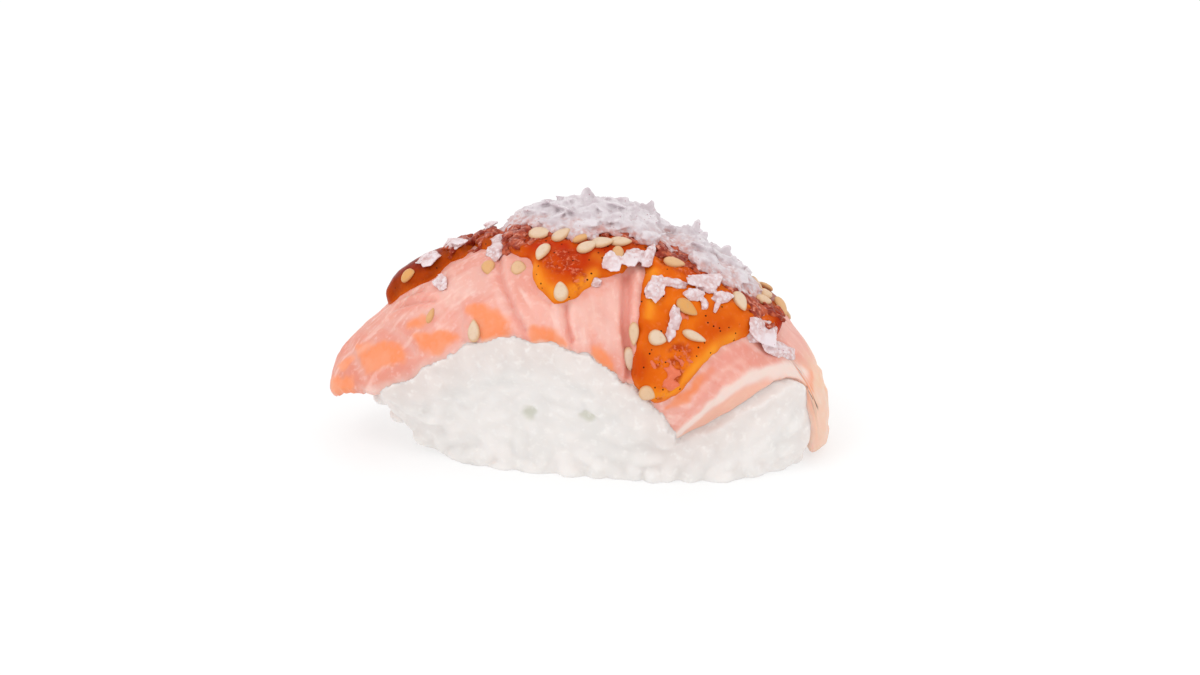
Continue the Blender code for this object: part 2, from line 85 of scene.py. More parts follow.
# Step in mm for directions on the drape
FRAME_STEP = 0.4
NEAR_DROP = [
    (0, 4.2), (0.08, 5.1), (0.16, 5.7), (0.24, 7.0), (0.32, 8.3), (0.4, 9.9), (0.5, 11.7), (0.6, 13.9),
    (0.7, 15.4), (0.8, 16.8), (1, 17.2),
]
FAR_DROP = [(0, 5.0), (0.2, 9.0), (0.35, 13.0), (0.5, 15.0), (0.65, 14.5), (0.8, 12.0), (1, 9.0)]
HALF_WIDTH = [(0, 10.5), (0.12, 13.0), (0.3, 16.5), (0.5, 17.6), (0.7, 17.0), (0.85, 14.5), (1, 11.0)]
ARCH_RISE = [(0, 9.0), (0.15, 11.0), (0.3, 14.0), (0.5, 16.0), (0.7, 15.0), (0.85, 12.0), (1, 9.0)]
START_LINE = [
    (-1, 0.065), (-0.88, 0.045), (-0.75, 0.03), (-0.55, 0.013), (-0.35, 0.004), (-0.1, 0.0), (0.15, 0.003),
    (0.4, 0.012), (0.6, 0.026), (0.78, 0.048), (0.9, 0.072), (1, 0.1),
]
END_LINE = [
    (-1, 0.797), (-0.87, 0.82), (-0.7, 0.826), (-0.52, 0.829), (-0.4, 0.836), (-0.32, 0.848),
    (-0.27, 0.862), (-0.24, 0.885), (-0.22, 0.95), (-0.2, 0.985), (-0.15, 1.0), (0.5, 1.0), (0.8, 0.97),
    (1, 0.92),
]
CUT_BEVEL = [(-1, 0.008), (-0.4, 0.008), (-0.2, 0.004), (-0.1, 0.0), (1, 0.0)]
THICKNESS = [(0, 2.3), (0.16, 3.3), (0.8, 3.0), (0.97, 2.4), (1, 2.0)]
# Thickness at the rim, by mm along: thin where it lies on the rice
RIM_THICKNESS = [(0, 1.5), (8, 1.3), (13, 0.5), (70, 0.5), (77, 1.2), (97, 1.2)]
RIM_REACH = 0.13

# How far the near edge departs from the smooth one, at mm along
NEAR_EDGE = [
    (0, -0.4), (2, -1.4), (5, -1.7), (6.8, -1.3), (8.2, 0.2), (10, 1.1), (12.2, 1.3), (14, 1.9),
    (15.5, 2.2), (19.5, 2.0), (22.8, 1.7), (26.2, 0.6), (28.5, 0.2), (31.8, 0.4), (34.2, 0.3), (36.5, 0.9),
    (39, 1.3), (42, 1.2), (49, 1.1), (53, 1.0), (57, 1.0), (64, 1.0), (70, 1.4), (73, 2.1), (75.6, 2.5),
    (79, 1.2), (84, 0), (92, 5), (97, 6),
]

# The rice core, as in the CAD
RICE_HALF = (31.3, 12.9)
RICE_WAIST = 11.5
RICE_RISE = 17.4
RICE_DROP = 20.0
RICE_POWERS = (2.8, 2.1, 3.0)
RICE_SHIFT = (0.5, -0.3)
RICE_FLOOR = -0.5
PROW = (7.0, 11.0, 19.0, 20.0)
PROW_TRIM = (4.2, 10.0)
# The left part of the base is narrower: by this share, from and to these mm, fading at this height
BASE_NARROW = (0.2, 2.0, 26.0, 12.0)


def at_stations(stations, share):
    """Values between given stations, eased from one to the next."""
    places, values = np.array(stations, float).T
    share = np.clip(share, places[0], places[-1])
    cell = np.clip(np.searchsorted(places, share, side="left") - 1, 0, len(places) - 2)
    blend = (share - places[cell]) / (places[cell + 1] - places[cell])
    blend = blend * blend * (3 - 2 * blend)
    return values[cell] + (values[cell + 1] - values[cell]) * blend


def spline_through(points):
    """Natural cubic curve through points, as a function of shares of its length."""
    knots = np.array(points, float)
    steps = np.sqrt((np.diff(knots, axis=0) ** 2).sum(axis=1))
    shares = np.concatenate([[0.0], np.cumsum(steps)]) / steps.sum()
    spans = np.diff(shares)
    count = len(knots)
    matrix = np.eye(count)
    target = np.zeros_like(knots)
    rises = (knots[1:] - knots[:-1]) / spans[:, None]
    for row in range(1, count - 1):
        matrix[row, row - 1:row + 2] = (spans[row - 1], 2 * (spans[row - 1] + spans[row]), spans[row])
        target[row] = 3 * (rises[row] - rises[row - 1])
    bend = np.linalg.solve(matrix, target)
    slope = rises - spans[:, None] * (2 * bend[:-1] + bend[1:]) / 3
    twist = (bend[1:] - bend[:-1]) / (3 * spans[:, None])

    def point(share):
        share = np.atleast_1d(np.asarray(share, float))
        cell = np.clip(np.searchsorted(shares, share, side="right") - 1, 0, count - 2)
        step = (share - shares[cell])[..., None]
        return knots[cell] + slope[cell] * step + bend[cell] * step ** 2 + twist[cell] * step ** 3

    return point


ridge_point = spline_through(RIDGE)


def drape(along, across):
    """Points of the slice's smooth top, in mm, from mm along its ridge and mm across it."""
    along, across = np.broadcast_arrays(np.atleast_1d(along).astype(float), across)
    share = along / RIDGE_LENGTH
    ridge = ridge_point(share)
    ahead = ridge_point(share + 0.001) - ridge_point(share - 0.001)
    ahead = ahead / np.linalg.norm(ahead, axis=-1, keepdims=True)
    width = at_stations(HALF_WIDTH, share)
    rise = at_stations(ARCH_RISE, share)
    turn = np.abs(across) * 2 / (rise + width)
    bend = np.minimum(turn, math.pi / 2)
    over = turn - bend
    sideways = np.sign(across) * (width * np.sin(bend) + EDGE_FLARE * over * rise)
    down = rise * (1 - np.cos(bend) + over)
    x = ridge[..., 0] + ahead[..., 1] * down
    z = ridge[..., 1] - ahead[..., 0] * down
    cosine = math.cos(SLICE_YAW)
    sine = math.sin(SLICE_YAW)
    return np.stack([x * cosine - sideways * sine, x * sine + sideways * cosine, z], -1)


def unit(vectors):
    return vectors / np.maximum(np.linalg.norm(vectors, axis=-1, keepdims=True), 1e-9)


def drape_frame(along, across):
    """Points of the smooth top with their outward, lengthwise and crosswise directions."""
    lengthwise = unit(drape(along + FRAME_STEP, across) - drape(along - FRAME_STEP, across))
    crosswise = drape(along, across + FRAME_STEP) - drape(along, across - FRAME_STEP)
    outward = unit(np.cross(lengthwise, crosswise))
    return drape(along, across), outward, lengthwise, np.cross(outward, lengthwise)


def lifted(along, across, height):
    """Points this high in mm over the smooth top."""
    point, outward, _, _ = drape_frame(along, across)
    return point + outward * height[..., None]


def half_arc(along, side):
    """Length across the slice from its ridge to its edge on that side, -1 near or 1 far."""
    share = np.clip(along / RIDGE_LENGTH, 0, 1)
    rise = at_stations(ARCH_RISE, share)
    drop = np.where(side > 0, at_stations(FAR_DROP, share), at_stations(NEAR_DROP, share))
    bent = np.arccos(np.clip(1 - drop / rise, -1, 1))
    turn = np.where(drop < rise, bent, math.pi / 2 + (drop - rise) / rise)
    return turn * (rise + at_stations(HALF_WIDTH, share)) / 2


def edge_arc(along, side):
    """Length across the slice from its ridge to its wavy edge on that side."""
    wave = 0.35 * uneven(along, side * 9.0, 3.2, 21) + 0.15 * uneven(along, side * 9.0, 1.5, 22)
    return half_arc(along, side) + wave + np.where(side < 0, at_stations(NEAR_EDGE, along), 0)


def to_rim(along, across):
    """Distance in mm across the slice from its wavy edge on that side."""
    return edge_arc(along, np.sign(across)) - np.abs(across)


def smooth(value, low, high):
    """0 below low, 1 above high and eased between them."""
    share = np.clip((value - low) / (high - low), 0, 1)
    return share * share * (3 - 2 * share)


def bell(value):
    return np.exp(-value ** 2)


def spot_distance(along, across, spot):
    """Squared distance from a spot's middle, in its half sizes: (along, across, half along, half across)."""
    return ((along - spot[0]) / spot[2]) ** 2 + ((across - spot[1]) / spot[3]) ** 2


def between_four(table, i, j, f, g):
    """Value between four neighbours in a table that repeats, at shares f and g of the way from one on."""
    i, j = (i % table.shape[0], (i + 1) % table.shape[0]), (j % table.shape[1], (j + 1) % table.shape[1])
    near, far = (table[row, j[0]] * (1 - g) + table[row, j[1]] * g for row in i)
    return near * (1 - f) + far * f


def uneven(first, second, size, seed):
    """Smooth unevenness between -1 and 1 with lumps about this size."""
    table = np.random.default_rng(seed).uniform(-1, 1, LUMPS)
    u, v = first / size, second / size
    i, j = np.floor(u).astype(int), np.floor(v).astype(int)
    return between_four(table, i, j, *(part * part * (3 - 2 * part) for part in (u - i, v - j)))


def distance_to_segments(along, across, line):
    """Distance to a line of points, its sign (positive on the right going down) and the place on it."""
    places = np.stack([along, across], -1)
    best = np.full(along.shape, 1e9)
    side = np.zeros(along.shape)
    where = np.zeros(along.shape)
    for index, (start, end) in enumerate(zip(line, line[1:])):
        run = end - start
        reach = places - start
        share = np.clip((reach @ run) / (run @ run), 0, 1)
        gap = reach - share[..., None] * run
        distance = np.hypot(gap[..., 0], gap[..., 1])
        closer = distance < best
        best = np.where(closer, distance, best)
        turn = run[0] * reach[..., 1] - run[1] * reach[..., 0]
        side = np.where(closer, np.sign(turn), side)
        where = np.where(closer, (index + share) / (len(line) - 1), where)
    return best, side, where


# Steps in a fold, and between two points of an outline, and the shares over which a fold comes and goes
FOLD_STEPS = 24
OUTLINE_STEPS = 4
FOLD_START = (0.0, 0.12)
FOLD_END = (0.93, 1.0)


def fold_distance(along, across, points):
    """Signed distance in mm from a fold that runs through these points, and 1 on it but 0 past its ends."""
    line = spline_through(points)(np.linspace(0, 1, FOLD_STEPS))
    distance, side, where = distance_to_segments(along, across, line)
    inside = smooth(where, *FOLD_START) * (1 - smooth(where, *FOLD_END))
    return distance * side, inside


def closed_outline(points):
    """Smooth closed outline through points."""
    knots = np.array(points, float)
    outline = []
    for index in range(len(knots)):
        before, start, end, after = (knots[(index + shift) % len(knots)] for shift in (-1, 0, 1, 2))
        for t in np.arange(OUTLINE_STEPS) / OUTLINE_STEPS:
            square = (2 * before - 5 * start + 4 * end - after) * t ** 2
            cube = (3 * start - before - 3 * end + after) * t ** 3
            outline.append(0.5 * (2 * start + (end - before) * t + square + cube))
    outline.append(outline[0])
    return np.array(outline)


def depth_inside(along, across, points):
    """Distance in mm inside a smooth outline, negative outside it."""
    outline = closed_outline(points)
    distance, _, _ = distance_to_segments(along, across, outline)
    inside = np.zeros(along.shape, bool)
    for (a1, b1), (a2, b2) in zip(outline, outline[1:]):
        if b1 == b2:
            continue
        crosses = (b1 > across) != (b2 > across)
        inside ^= crosses & (along < a1 + (across - b1) * (a2 - a1) / (b2 - b1))
    return np.where(inside, distance, -distance)


def deepest_inside(along, across, outlines):
    return np.max([depth_inside(along, across, outline) for outline in outlines], axis=0)


def grid_cells(rows, columns):
    """Number of each point of a grid, and the four corners of each of its cells."""
    index = np.arange(rows * columns).reshape(rows, columns)
    return index, np.stack([index[:-1, :-1], index[1:, :-1], index[1:, 1:], index[:-1, 1:]], -1)


def sheet_tree(points):
    """Search tree of a sheet that is given as a grid of points."""
    _, cells = grid_cells(*points.shape[:2])
    return BVHTree.FromPolygons(points.reshape(-1, 3).tolist(), cells.reshape(-1, 4).tolist())


# Folds of the slice as points in (along, across), depth and half width in mm
CREASES = [
    ([(34, -3.5), (34.2, -9.8), (34.8, -13.8), (36.6, -18.8)], 0.55, 0.6),
    ([(43.6, -14.5), (43.8, -18.2), (44.9, -21)], 0.45, 0.55),
    ([(16.6, -1.4), (19.5, -2.8), (22.2, -4.4)], 0.3, 0.35),
    ([(16.4, -3), (18.8, -4.3), (21.2, -6), (24, -8)], 0.35, 0.4),
    ([(38.2, -11.5), (39.6, -13.4), (41.5, -15)], 0.2, 0.5),
    ([(48, -13.2), (49.3, -15.6), (51.5, -17.5)], 0.18, 0.6),
    ([(27.4, -9), (26.7, -13), (26, -16.8)], 0.22, 0.8),
    ([(13.8, -3.4), (15.8, -7.6), (17.4, -13)], 0.25, 0.8),
    ([(7, 0.5), (8.2, -4.8), (9, -10.5)], 0.2, 0.8),
    ([(28, 7), (31.5, 13), (32.5, 19)], 0.5, 0.8),
    ([(57, 14), (54, 19), (52, 24)], 0.55, 0.7),
    ([(74, 8), (75, 13), (72, 18)], 0.4, 0.8),
]
PLEAT = [(52.3, -8), (53.3, -13.5), (54.6, -17.8), (56.8, -21.5), (58.8, -24.4)]
PLEAT_HALF = 0.75
PLEAT_DEPTH = 0.75
PLEAT_RIDGE = 0.5

# Patches of orange flesh, and pale patches, as outlines in (along, across)
ORANGE_PATCHES = [
    [(9, -3.4), (12.5, -6.3), (15.5, -8.8), (16.2, -11), (15, -12.4), (12, -11.2), (9.8, -10.2), (9, -7.6)],
    [(18.3, -10), (20.6, -11), (23.5, -12.8), (25.2, -15), (22.6, -15.4), (19.8, -15.4), (18.4, -13)],
    [(18, -7.5), (20.5, -8.2), (21.9, -10.4), (19.8, -10.4), (18, -8.8)],
    [
        (27.6, -11.8), (30, -12), (32.4, -13.4), (33.8, -15.6), (33.6, -17.6), (30, -18.4), (28.2, -17),
        (28.2, -14),
    ],
    [(36.6, -17.8), (40, -18.2), (43.4, -20), (42.2, -22), (37.5, -21.4)],
    [(48.6, -20.6), (50.8, -20.6), (53.5, -22), (55.4, -24.4), (52.5, -24.8), (49.2, -22.8)],
    [(1.6, -2.4), (5, -5.4), (6.6, -8), (5, -9.2), (1.4, -6)],
    [(4.6, -3), (7.6, -3.8), (8.2, -5.4), (5.6, -5.6)],
    [(67.8, -25.6), (70.4, -22.6), (70.8, -17.2), (69.8, -17.2), (69, -19.5), (67.8, -23)],
    [(80.8, -8.4), (82.2, -5.2), (84.4, -3.4), (86, -4.8), (85.8, -7.8), (83.6, -8.4)],
    [(11, 10.5), (14, 9.5), (18, 11.5), (20, 17), (12, 18)],
    [(34, 20.5), (37, 18.8), (41, 19.6), (44, 22.5), (44, 27), (34, 27)],
    [(58, 20), (61, 17.6), (66, 18.2), (68, 22), (67, 27), (58, 27)],
]
PALE_PATCHES = [
    [(32.6, -10.5), (34, -11.5), (34.6, -15.6), (33.8, -16.2), (32.8, -13.4)],
    [(40.6, -15.6), (43.4, -15.4), (43.6, -18.8), (41.6, -18.6)],
    [(48, -16), (51.5, -17), (54.6, -19.6), (56.6, -22.8), (54, -21.6), (49.5, -19.8)],
    [(24.6, -6.8), (27.5, -5), (31.6, -5.4), (32.8, -8.6), (32, -11.2), (28.4, -10.4), (25.6, -11)],
    [(45.4, -15.2), (49.5, -12.8), (52, -11.6), (53.2, -15.6), (52.4, -18.2), (48.5, -18.6), (45.6, -18)],
    [(44.6, -17), (47.5, -17.5), (48, -21), (45.6, -21)],
    [(86, -6), (97, -7), (97, 8), (90, 2)],
]
# Thin pale walls between the muscles, and the line of fat where the cut begins
WALLS = [
    [(7.2, 0), (8, -4), (8.4, -7.5), (8.2, -11.5)],
    [(14.2, -3.6), (15.4, -6.2), (16.8, -9.8), (17.2, -13.5)],
    [(27.2, -9), (26.6, -13.5), (26.2, -16.8)],
    [(34.6, -4.5), (34.8, -9.8), (35.4, -13.8), (37, -18.8)],
    [(10.4, -2), (14.6, -4.6), (20, -7.6), (25, -10.6)],
    [(3, -2.5), (6.5, -3), (9.5, -5.2), (13, -6.2)],
    [(58.8, 15), (57, 18), (57, 21)],
]
FAT_LINE = [
    (73.4, -31), (73.4, -27), (73.6, -23), (74, -18.6), (74.8, -15.2), (76.2, -12.4), (78.6, -8.8),
    (80.8, -6.4), (83, -4.8), (85, -4),
]
# The cut slopes down from the line of fat to the end, by this much over this many mm
CUT_DROP = 1.5
CUT_REACH = 4.6
CUT_FROM = 60
# Shallow dips of the ridge as (along, across, half size along, half size across, depth)
RIDGE_DIPS = [(57, 3.5, 2, 7, 1), (64.3, 3.5, 2, 7, 0.8), (70, 3.5, 3, 7, 0.5)]
# Pinker places of the flesh beside a crease, along the pleat and by the glaze's edge: painted shade
DEEP_PATCHES = [
    [
        (70.4, -19.5), (69.6, -17.2), (69.9, -14.8), (71.2, -12.3), (72.9, -10.2), (74.2, -10.4), (73, -13),
        (71.6, -16),
    ],
    [(17.6, -4.6), (20, -5.6), (23.5, -5.6), (23, -6.4), (19.6, -6.6)],
    [(51, -9.4), (52.6, -8.6), (53.4, -13.5), (54.8, -18), (53.8, -18.4), (52.2, -14)],
]

# Pools of glaze as outlines in (along, across), the first with its drip at the near edge
GLAZE_POOLS = [
    [
        (34.9, 3), (34.8, -1.5), (35.3, -4.5), (36.8, -6.4), (38.5, -7.4), (38.7, -10), (39.3, -12.4),
        (41.2, -14.6), (43.9, -15), (46.8, -13.3), (49.4, -11.2), (52.2, -9.2), (53.8, -6.2), (54.8, -7.4),
        (55.2, -10.5), (55.7, -14), (56.7, -18), (57.5, -21.4), (58.9, -24), (61.9, -25.5), (65.2, -25.4),
        (67.5, -23.4), (68.3, -21), (68.5, -18.6), (68.9, -16.2), (69.7, -13.6), (71.2, -11.2), (72.4, -9),
        (74.6, -7.6), (76, -6), (76.4, -3.2), (76.5, -0.8), (76.8, 4.5), (74.5, 9), (70.5, 11.5),
        (68, 16.5), (65, 17.5), (62, 13), (57, 11.5), (52, 13), (49, 18), (46, 18), (43.5, 12.5), (39, 10),
        (36, 7),
    ],
    [
        (15, 2.2), (15.2, 0.4), (16.4, -0.6), (18.6, -1.3), (20.8, -2.3), (22.8, -2.9), (24.3, -2.7),
        (25.4, -1.4), (26.6, -0.4), (26.6, 2.5), (24.8, 5.5), (21.5, 7), (18, 6), (16, 4.2),
    ],
    [(25.4, 1.2), (26.6, -0.6), (28.4, -1.9), (29.4, -0.6), (30, 2.5), (28.5, 5.5), (26, 5)],
    [(29.8, 3), (30.2, 0.2), (31.3, -1.4), (32.8, -2.4), (33.5, 0.2), (33.6, 4), (31.8, 6.5)],
]
FIELD_STEP = 0.25
FIELD_ALONG = (-1, 98)
FIELD_ACROSS = (-29, 27)
GROUND_STRIDE = 4
GLAZE_ROOT = -0.6
GLAZE_MARGIN = 0.55
GLAZE_SHORE = 1.5
GLAZE_ROUND = 2.4
GLAZE_THICK = 1.05
GLAZE_BLOBS = [
    (57.6, 4, 3, 7, -0.45), (64.3, 4, 3.5, 7, -0.5), (70, 4, 3, 6, -0.35), (18.8, 1.2, 3.2, 3.4, 1.2),
    (23, 2, 3.2, 3.6, 0.8), (28.5, 3, 3, 4, 0.3), (74.6, -4.2, 1.5, 2.4, 0.9), (64, -22, 4, 3.5, 0.5),
    (44, -11.5, 3.5, 3, 0.35),
]
# Painted light: gold where light shines through the thin rim of the pools, each with its strength
GOLD_LINES = [
    ([
        (71.6, -10), (70.3, -11.6), (69, -13.6), (68.2, -15.9), (67.6, -18.2), (67.2, -20.4), (66.2, -22.8),
        (64.4, -24), (61.4, -24),
    ], 0.95),
    ([(38.6, -8.2), (39.3, -10.6), (40.2, -12.6), (42, -14), (44, -14.1), (46.4, -12.7), (49, -10.6)], 0.95),
    ([(47, -7.9), (50, -8.8), (52.6, -7.6)], 0.5),
    ([(55.9, -7.6), (56.4, -10.2), (57, -13), (57.6, -15.8)], 0.7),
]
GOLD_HALF = 0.9
# Darker red places of the pools as (along, across, half size along, half size across, strength)
DARK_SPOTS = [
    (44.8, -8.6, 4.8, 4, 1), (40.6, -5.6, 3.4, 2.8, 0.95), (49.4, -6.6, 3.8, 2.6, 1),
    (37, -1.5, 3.5, 3.5, 0.7), (58.8, -21, 2.2, 3.4, 0.5), (64.4, -20, 4.5, 4.8, 0.1),
    (68, -11.5, 3.5, 3, 0.4), (75.2, -4, 1.3, 2.6, 1), (51, -4.4, 5, 1.8, 0.8), (62, -5, 4, 1.8, 0.6),
    (72, -4, 2.5, 1.6, 0.6),
]
# Crumbly, redder places under and in the glaze: (along, across, half size along, half size across)
CRUMB_SPOTS = [
    (43.5, -9.3, 2.6, 2.2), (45.6, -12.2, 1.3, 1.8), (37, -2.5, 2.4, 4.5), (46, -3.5, 9, 2.4),
    (65.4, -21.5, 1.4, 2.6), (64.5, -17.8, 2.2, 2), (61.5, -20.2, 1, 1), (68, -4.5, 6, 2.5),
    (59, -5.5, 4, 2), (56.5, -3.5, 3, 3),
]


def fibres(along, across):
    """Long streaks between -1 and 1, lengthwise at the slice's ends and steeply across it in the middle."""
    total = 0
    steep = smooth(along, 33.0, 37.0) * (1 - smooth(along, 54.0, 60.0))
    for heading, share, seed in ((8.0, 1 - steep, 61), (-68.0, steep, 62)):
        cosine, sine = math.cos(math.radians(heading)), math.sin(math.radians(heading))
        length = along * cosine + across * sine
        width = across * cosine - along * sine
        broad = 0.7 * uneven(length * 0.13, width, 0.85, seed)
        fine = 0.5 * uneven(length * 0.2, width, 0.42, seed + 5)
        total = total + share * (broad + fine)
    return np.clip(total, -1, 1)


def cut_share(along, across):
    """How far down the cut a place is: 0 before the line of fat, 1 at the end of the slope."""
    distance, inside = fold_distance(along, across, FAT_LINE)
    share = np.clip(-distance / CUT_REACH, 0, 1) * inside * (along > CUT_FROM)
    return share * (1 - smooth(along, 80.5, 84.5))


def relief(along, across):
    """Height in mm of the slice's folds, fibres and unevenness over its smooth drape."""
    height = 0.22 * uneven(along, across, 6.5, 1) + 0.1 * uneven(along, across, 2.6, 2)
    streak = along + 0.35 * across + 1.2 * uneven(along, across, 7.0, 3)
    height = height + 0.05 * uneven(streak, across * 0.12, 0.75, 4)
    for points, depth, half in CREASES:
        distance, inside = fold_distance(along, across, points)
        lips = 0.45 * bell((np.abs(distance) - 2.1 * half) / (1.4 * half))
        height = height - depth * inside * (np.exp(-np.abs(distance / half) ** 1.6) - lips)
    distance, inside = fold_distance(along, across, PLEAT)
    groove = 1 - smooth(np.abs(distance), PLEAT_HALF * 0.55, PLEAT_HALF * 1.35)
    ridge = bell((distance - 2.0 * PLEAT_HALF) / 0.8) + 0.5 * bell((distance + 2.1 * PLEAT_HALF) / 0.9)
    height = height + inside * (PLEAT_RIDGE * ridge - PLEAT_DEPTH * groove)
    for *spot, depth in RIDGE_DIPS:
        height = height - depth * np.exp(-spot_distance(along, across, spot))
    height = height + 0.22 * smooth(along, 83, 87) * uneven(along, across, 1.3, 5)
    return height + 0.025 * fibres(along, across) - CUT_DROP * cut_share(along, across)


def glaze_depth(along, across):
    """Distance in mm inside the shore of the glaze, negative outside it."""
    wander = 0.25 * uneven(along, across, 2.2, 11) + 0.12 * uneven(along, across, 0.9, 12)
    to_edge = to_rim(along, across) - GLAZE_MARGIN
    return np.minimum(deepest_inside(along, across, GLAZE_POOLS) + wander, to_edge)


def glaze_height(along, across, depth):
    """Height in mm of the glaze over the slice: a rounded shore and thicker blobs."""
    thick = GLAZE_THICK + 0.12 * uneven(along, across, 3.5, 13)
    for *spot, extra in GLAZE_BLOBS:
        thick = thick + extra * np.exp(-spot_distance(along, across, spot))
    rough = 0.26 * uneven(along, across, 1.0, 14) + 0.16 * uneven(along, across, 0.6, 15)
    share = np.clip(depth / GLAZE_SHORE, 0, 1)
    inside = thick * (1 - (1 - share) ** GLAZE_ROUND) + crumbs(along, across) * rough * share
    return np.where(depth > 0, inside, np.maximum(depth * 2.0, GLAZE_ROOT))


def crumbs(along, across):
    """1 in the crumbly places of the glaze, 0 outside them."""
    share = np.zeros(np.shape(along))
    for centre_along, centre_across, half_along, half_across in CRUMB_SPOTS:
        away = np.hypot((along - centre_along) / half_along, (across - centre_across) / half_across)
        away = away + 0.3 * uneven(along, across, 1.1, 16)
        share = np.maximum(share, 1 - smooth(away, 0.65, 1.15))
    return share


class Field:
    """Heights in mm over the smooth drape, on a fine grid along and across the slice."""

    def __init__(self):
        along = np.arange(*FIELD_ALONG, FIELD_STEP)
        across = np.arange(*FIELD_ACROSS, FIELD_STEP)
        self.along, self.across = np.meshgrid(along, across, indexing="ij")
        self.depth = glaze_depth(self.along, self.across)
        self.base = relief(self.along, self.across)
        self.glaze = glaze_height(self.along, self.across, self.depth)
        self.top = self.base + np.maximum(self.glaze, 0)

    def height(self, along, across):
        row = (along - FIELD_ALONG[0]) / FIELD_STEP
        column = (across - FIELD_ACROSS[0]) / FIELD_STEP
        i = int(min(max(row, 0), self.top.shape[0] - 2))
        j = int(min(max(column, 0), self.top.shape[1] - 2))
        return between_four(self.top, i, j, row - i, column - j)

    def tree(self):
        """Search tree of the surface itself."""
        coarse = np.s_[::GROUND_STRIDE, ::GROUND_STRIDE]
        return sheet_tree(lifted(self.along[coarse], self.across[coarse], self.top[coarse]))

    def laid_on(self, along, across, lift):
        """Matrix in mm with its Z outward and its X along the slice, lifted from what lies there."""
        frame = drape_frame(np.array([float(along)]), np.array([float(across)]))
        point, outward, lengthwise, crosswise = (value[0] for value in frame)
        matrix = Matrix((lengthwise, crosswise, outward)).transposed().to_4x4()
        matrix.translation = point + outward * (self.height(along, across) + lift)
        return matrix


def placed(points):
    """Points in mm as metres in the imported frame."""
    return (np.asarray(points, float) - (CENTRE[0], CENTRE[1], 0.0)) * MM


def put(name, data):
    """New object with this data, in the scene."""
    item = bpy.data.objects.new(name, data)
    bpy.context.scene.collection.objects.link(item)
    return item


def add_piece(name, points, faces, material, node, masks, sharp=None):
    """Mesh piece that stands for a CAD node, with its masks as point attributes."""
    mesh = bpy.data.meshes.new(name)
    mesh.from_pydata(placed(points), [], [list(map(int, face)) for face in faces])
    mesh.update()
    for mask, values in masks.items():
        attribute = mesh.attributes.new(mask, "FLOAT", "POINT")
        attribute.data.foreach_set("value", np.asarray(values, np.float32))
    mesh.shade_smooth()
    if sharp is not None:
        mesh.set_sharp_from_angle(angle=sharp)
    mesh.materials.append(material)
    piece = put(name, mesh)
    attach(piece, "root")
    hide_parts(node)


def tint(colour):
    """Linear colour from its 0 to 255 values on a screen."""
    parts = np.array(colour) / 255
    linear = np.where(parts <= 0.04045, parts / 12.92, ((parts + 0.055) / 1.055) ** 2.4)
    return (*(float(part) for part in linear), 1.0)


class Recipe:
    """Material under construction. A number or colour that varies is a socket, or the name of a mask."""

    def __init__(self, name, settings):
        self.material = bpy.data.materials.new(name)
        self.material.use_nodes = True
        self.tree = self.material.node_tree
        self.shader = self.tree.nodes["Principled BSDF"]
        for socket, value in settings.items():
            self.shader.inputs[socket].default_value = value
        self.place = self.add("ShaderNodeTexCoord").outputs["Object"]
        self.colour = None

    def feed(self, socket, value):
        if isinstance(value, str):
            value = self.add("ShaderNodeAttribute", attribute_name=value).outputs["Fac"]
        if isinstance(value, bpy.types.NodeSocket):
            self.tree.links.new(value, socket)
        else:
            socket.default_value = value

    def add(self, kind, inputs=None, **settings):
        node = self.tree.nodes.new(kind)
        for key, value in settings.items():
            setattr(node, key, value)
        for socket, value in (inputs or {}).items():
            self.feed(node.inputs[socket], value)
        return node

    def noise(self, size, detail):
        """Noise around 0.5 with lumps of this size in mm."""
        inputs = {"Vector": self.place, "Scale": 1 / (size * MM), "Detail": detail, "Roughness": 0.55}
        return self.add("ShaderNodeTexNoise", inputs).outputs["Fac"]

    def cells(self, size):
        """Node of uneven cells of this size in mm."""
        return self.add("ShaderNodeTexVoronoi", {"Vector": self.place, "Scale": 1 / (size * MM)})

    def specks(self, size, radius, share):
        """1 in small dots of this radius in mm, one in a share of the cells of this size."""
        cells = self.cells(size)
        near = self.math("LESS_THAN", cells.outputs["Distance"], radius / size)
        split = self.add("ShaderNodeSeparateColor", {"Color": cells.outputs["Color"]})
        return self.product(near, self.math("LESS_THAN", split.outputs["Red"], share))

    def ramp(self, value, low, high):
        """0 where the value is low, 1 where it is high."""
        inputs = {"Value": value, "From Min": low, "From Max": high}
        return self.add("ShaderNodeMapRange", inputs, interpolation_type="SMOOTHSTEP").outputs["Result"]

    def cloud(self, size, detail, low, high):
        """Patches of noise of this size, as a ramp."""
        return self.ramp(self.noise(size, detail), low, high)

    def math(self, operation, first, second):
        node = self.add("ShaderNodeMath", {0: first, 1: second}, operation=operation, use_clamp=True)
        return node.outputs[0]

    def product(self, first, second):
        return self.math("MULTIPLY", first, second)

    def mix(self, share, first, second):
        """Mix of two colours, each a socket, four linear values or its 0 to 255 values on a screen."""
        node = self.add("ShaderNodeMix", {0: share}, data_type="RGBA")
        for socket, colour in ((6, first), (7, second)):
            on_screen = isinstance(colour, tuple) and len(colour) == 3
            self.feed(node.inputs[socket], tint(colour) if on_screen else colour)
        return node.outputs[2]

    def paint(self, share, colour, strength=None):
        """Lays a colour over what is there."""
        if strength is not None:
            share = self.product(share, strength)
        self.colour = self.mix(share, self.colour, colour)

    def bump(self, height, strength, depth, below=None):
        """Bump of this depth in mm."""
        inputs = {"Height": height, "Strength": strength, "Distance": depth * MM}
        if below is not None:
            inputs["Normal"] = below
        return self.add("ShaderNodeBump", inputs).outputs["Normal"]

    def finish(self, **shader):
        """The material, with its colour and what else varies on the shader."""
        for socket, value in {"Base Color": self.colour, **shader}.items():
            self.feed(self.shader.inputs[socket], value)
        return self.material


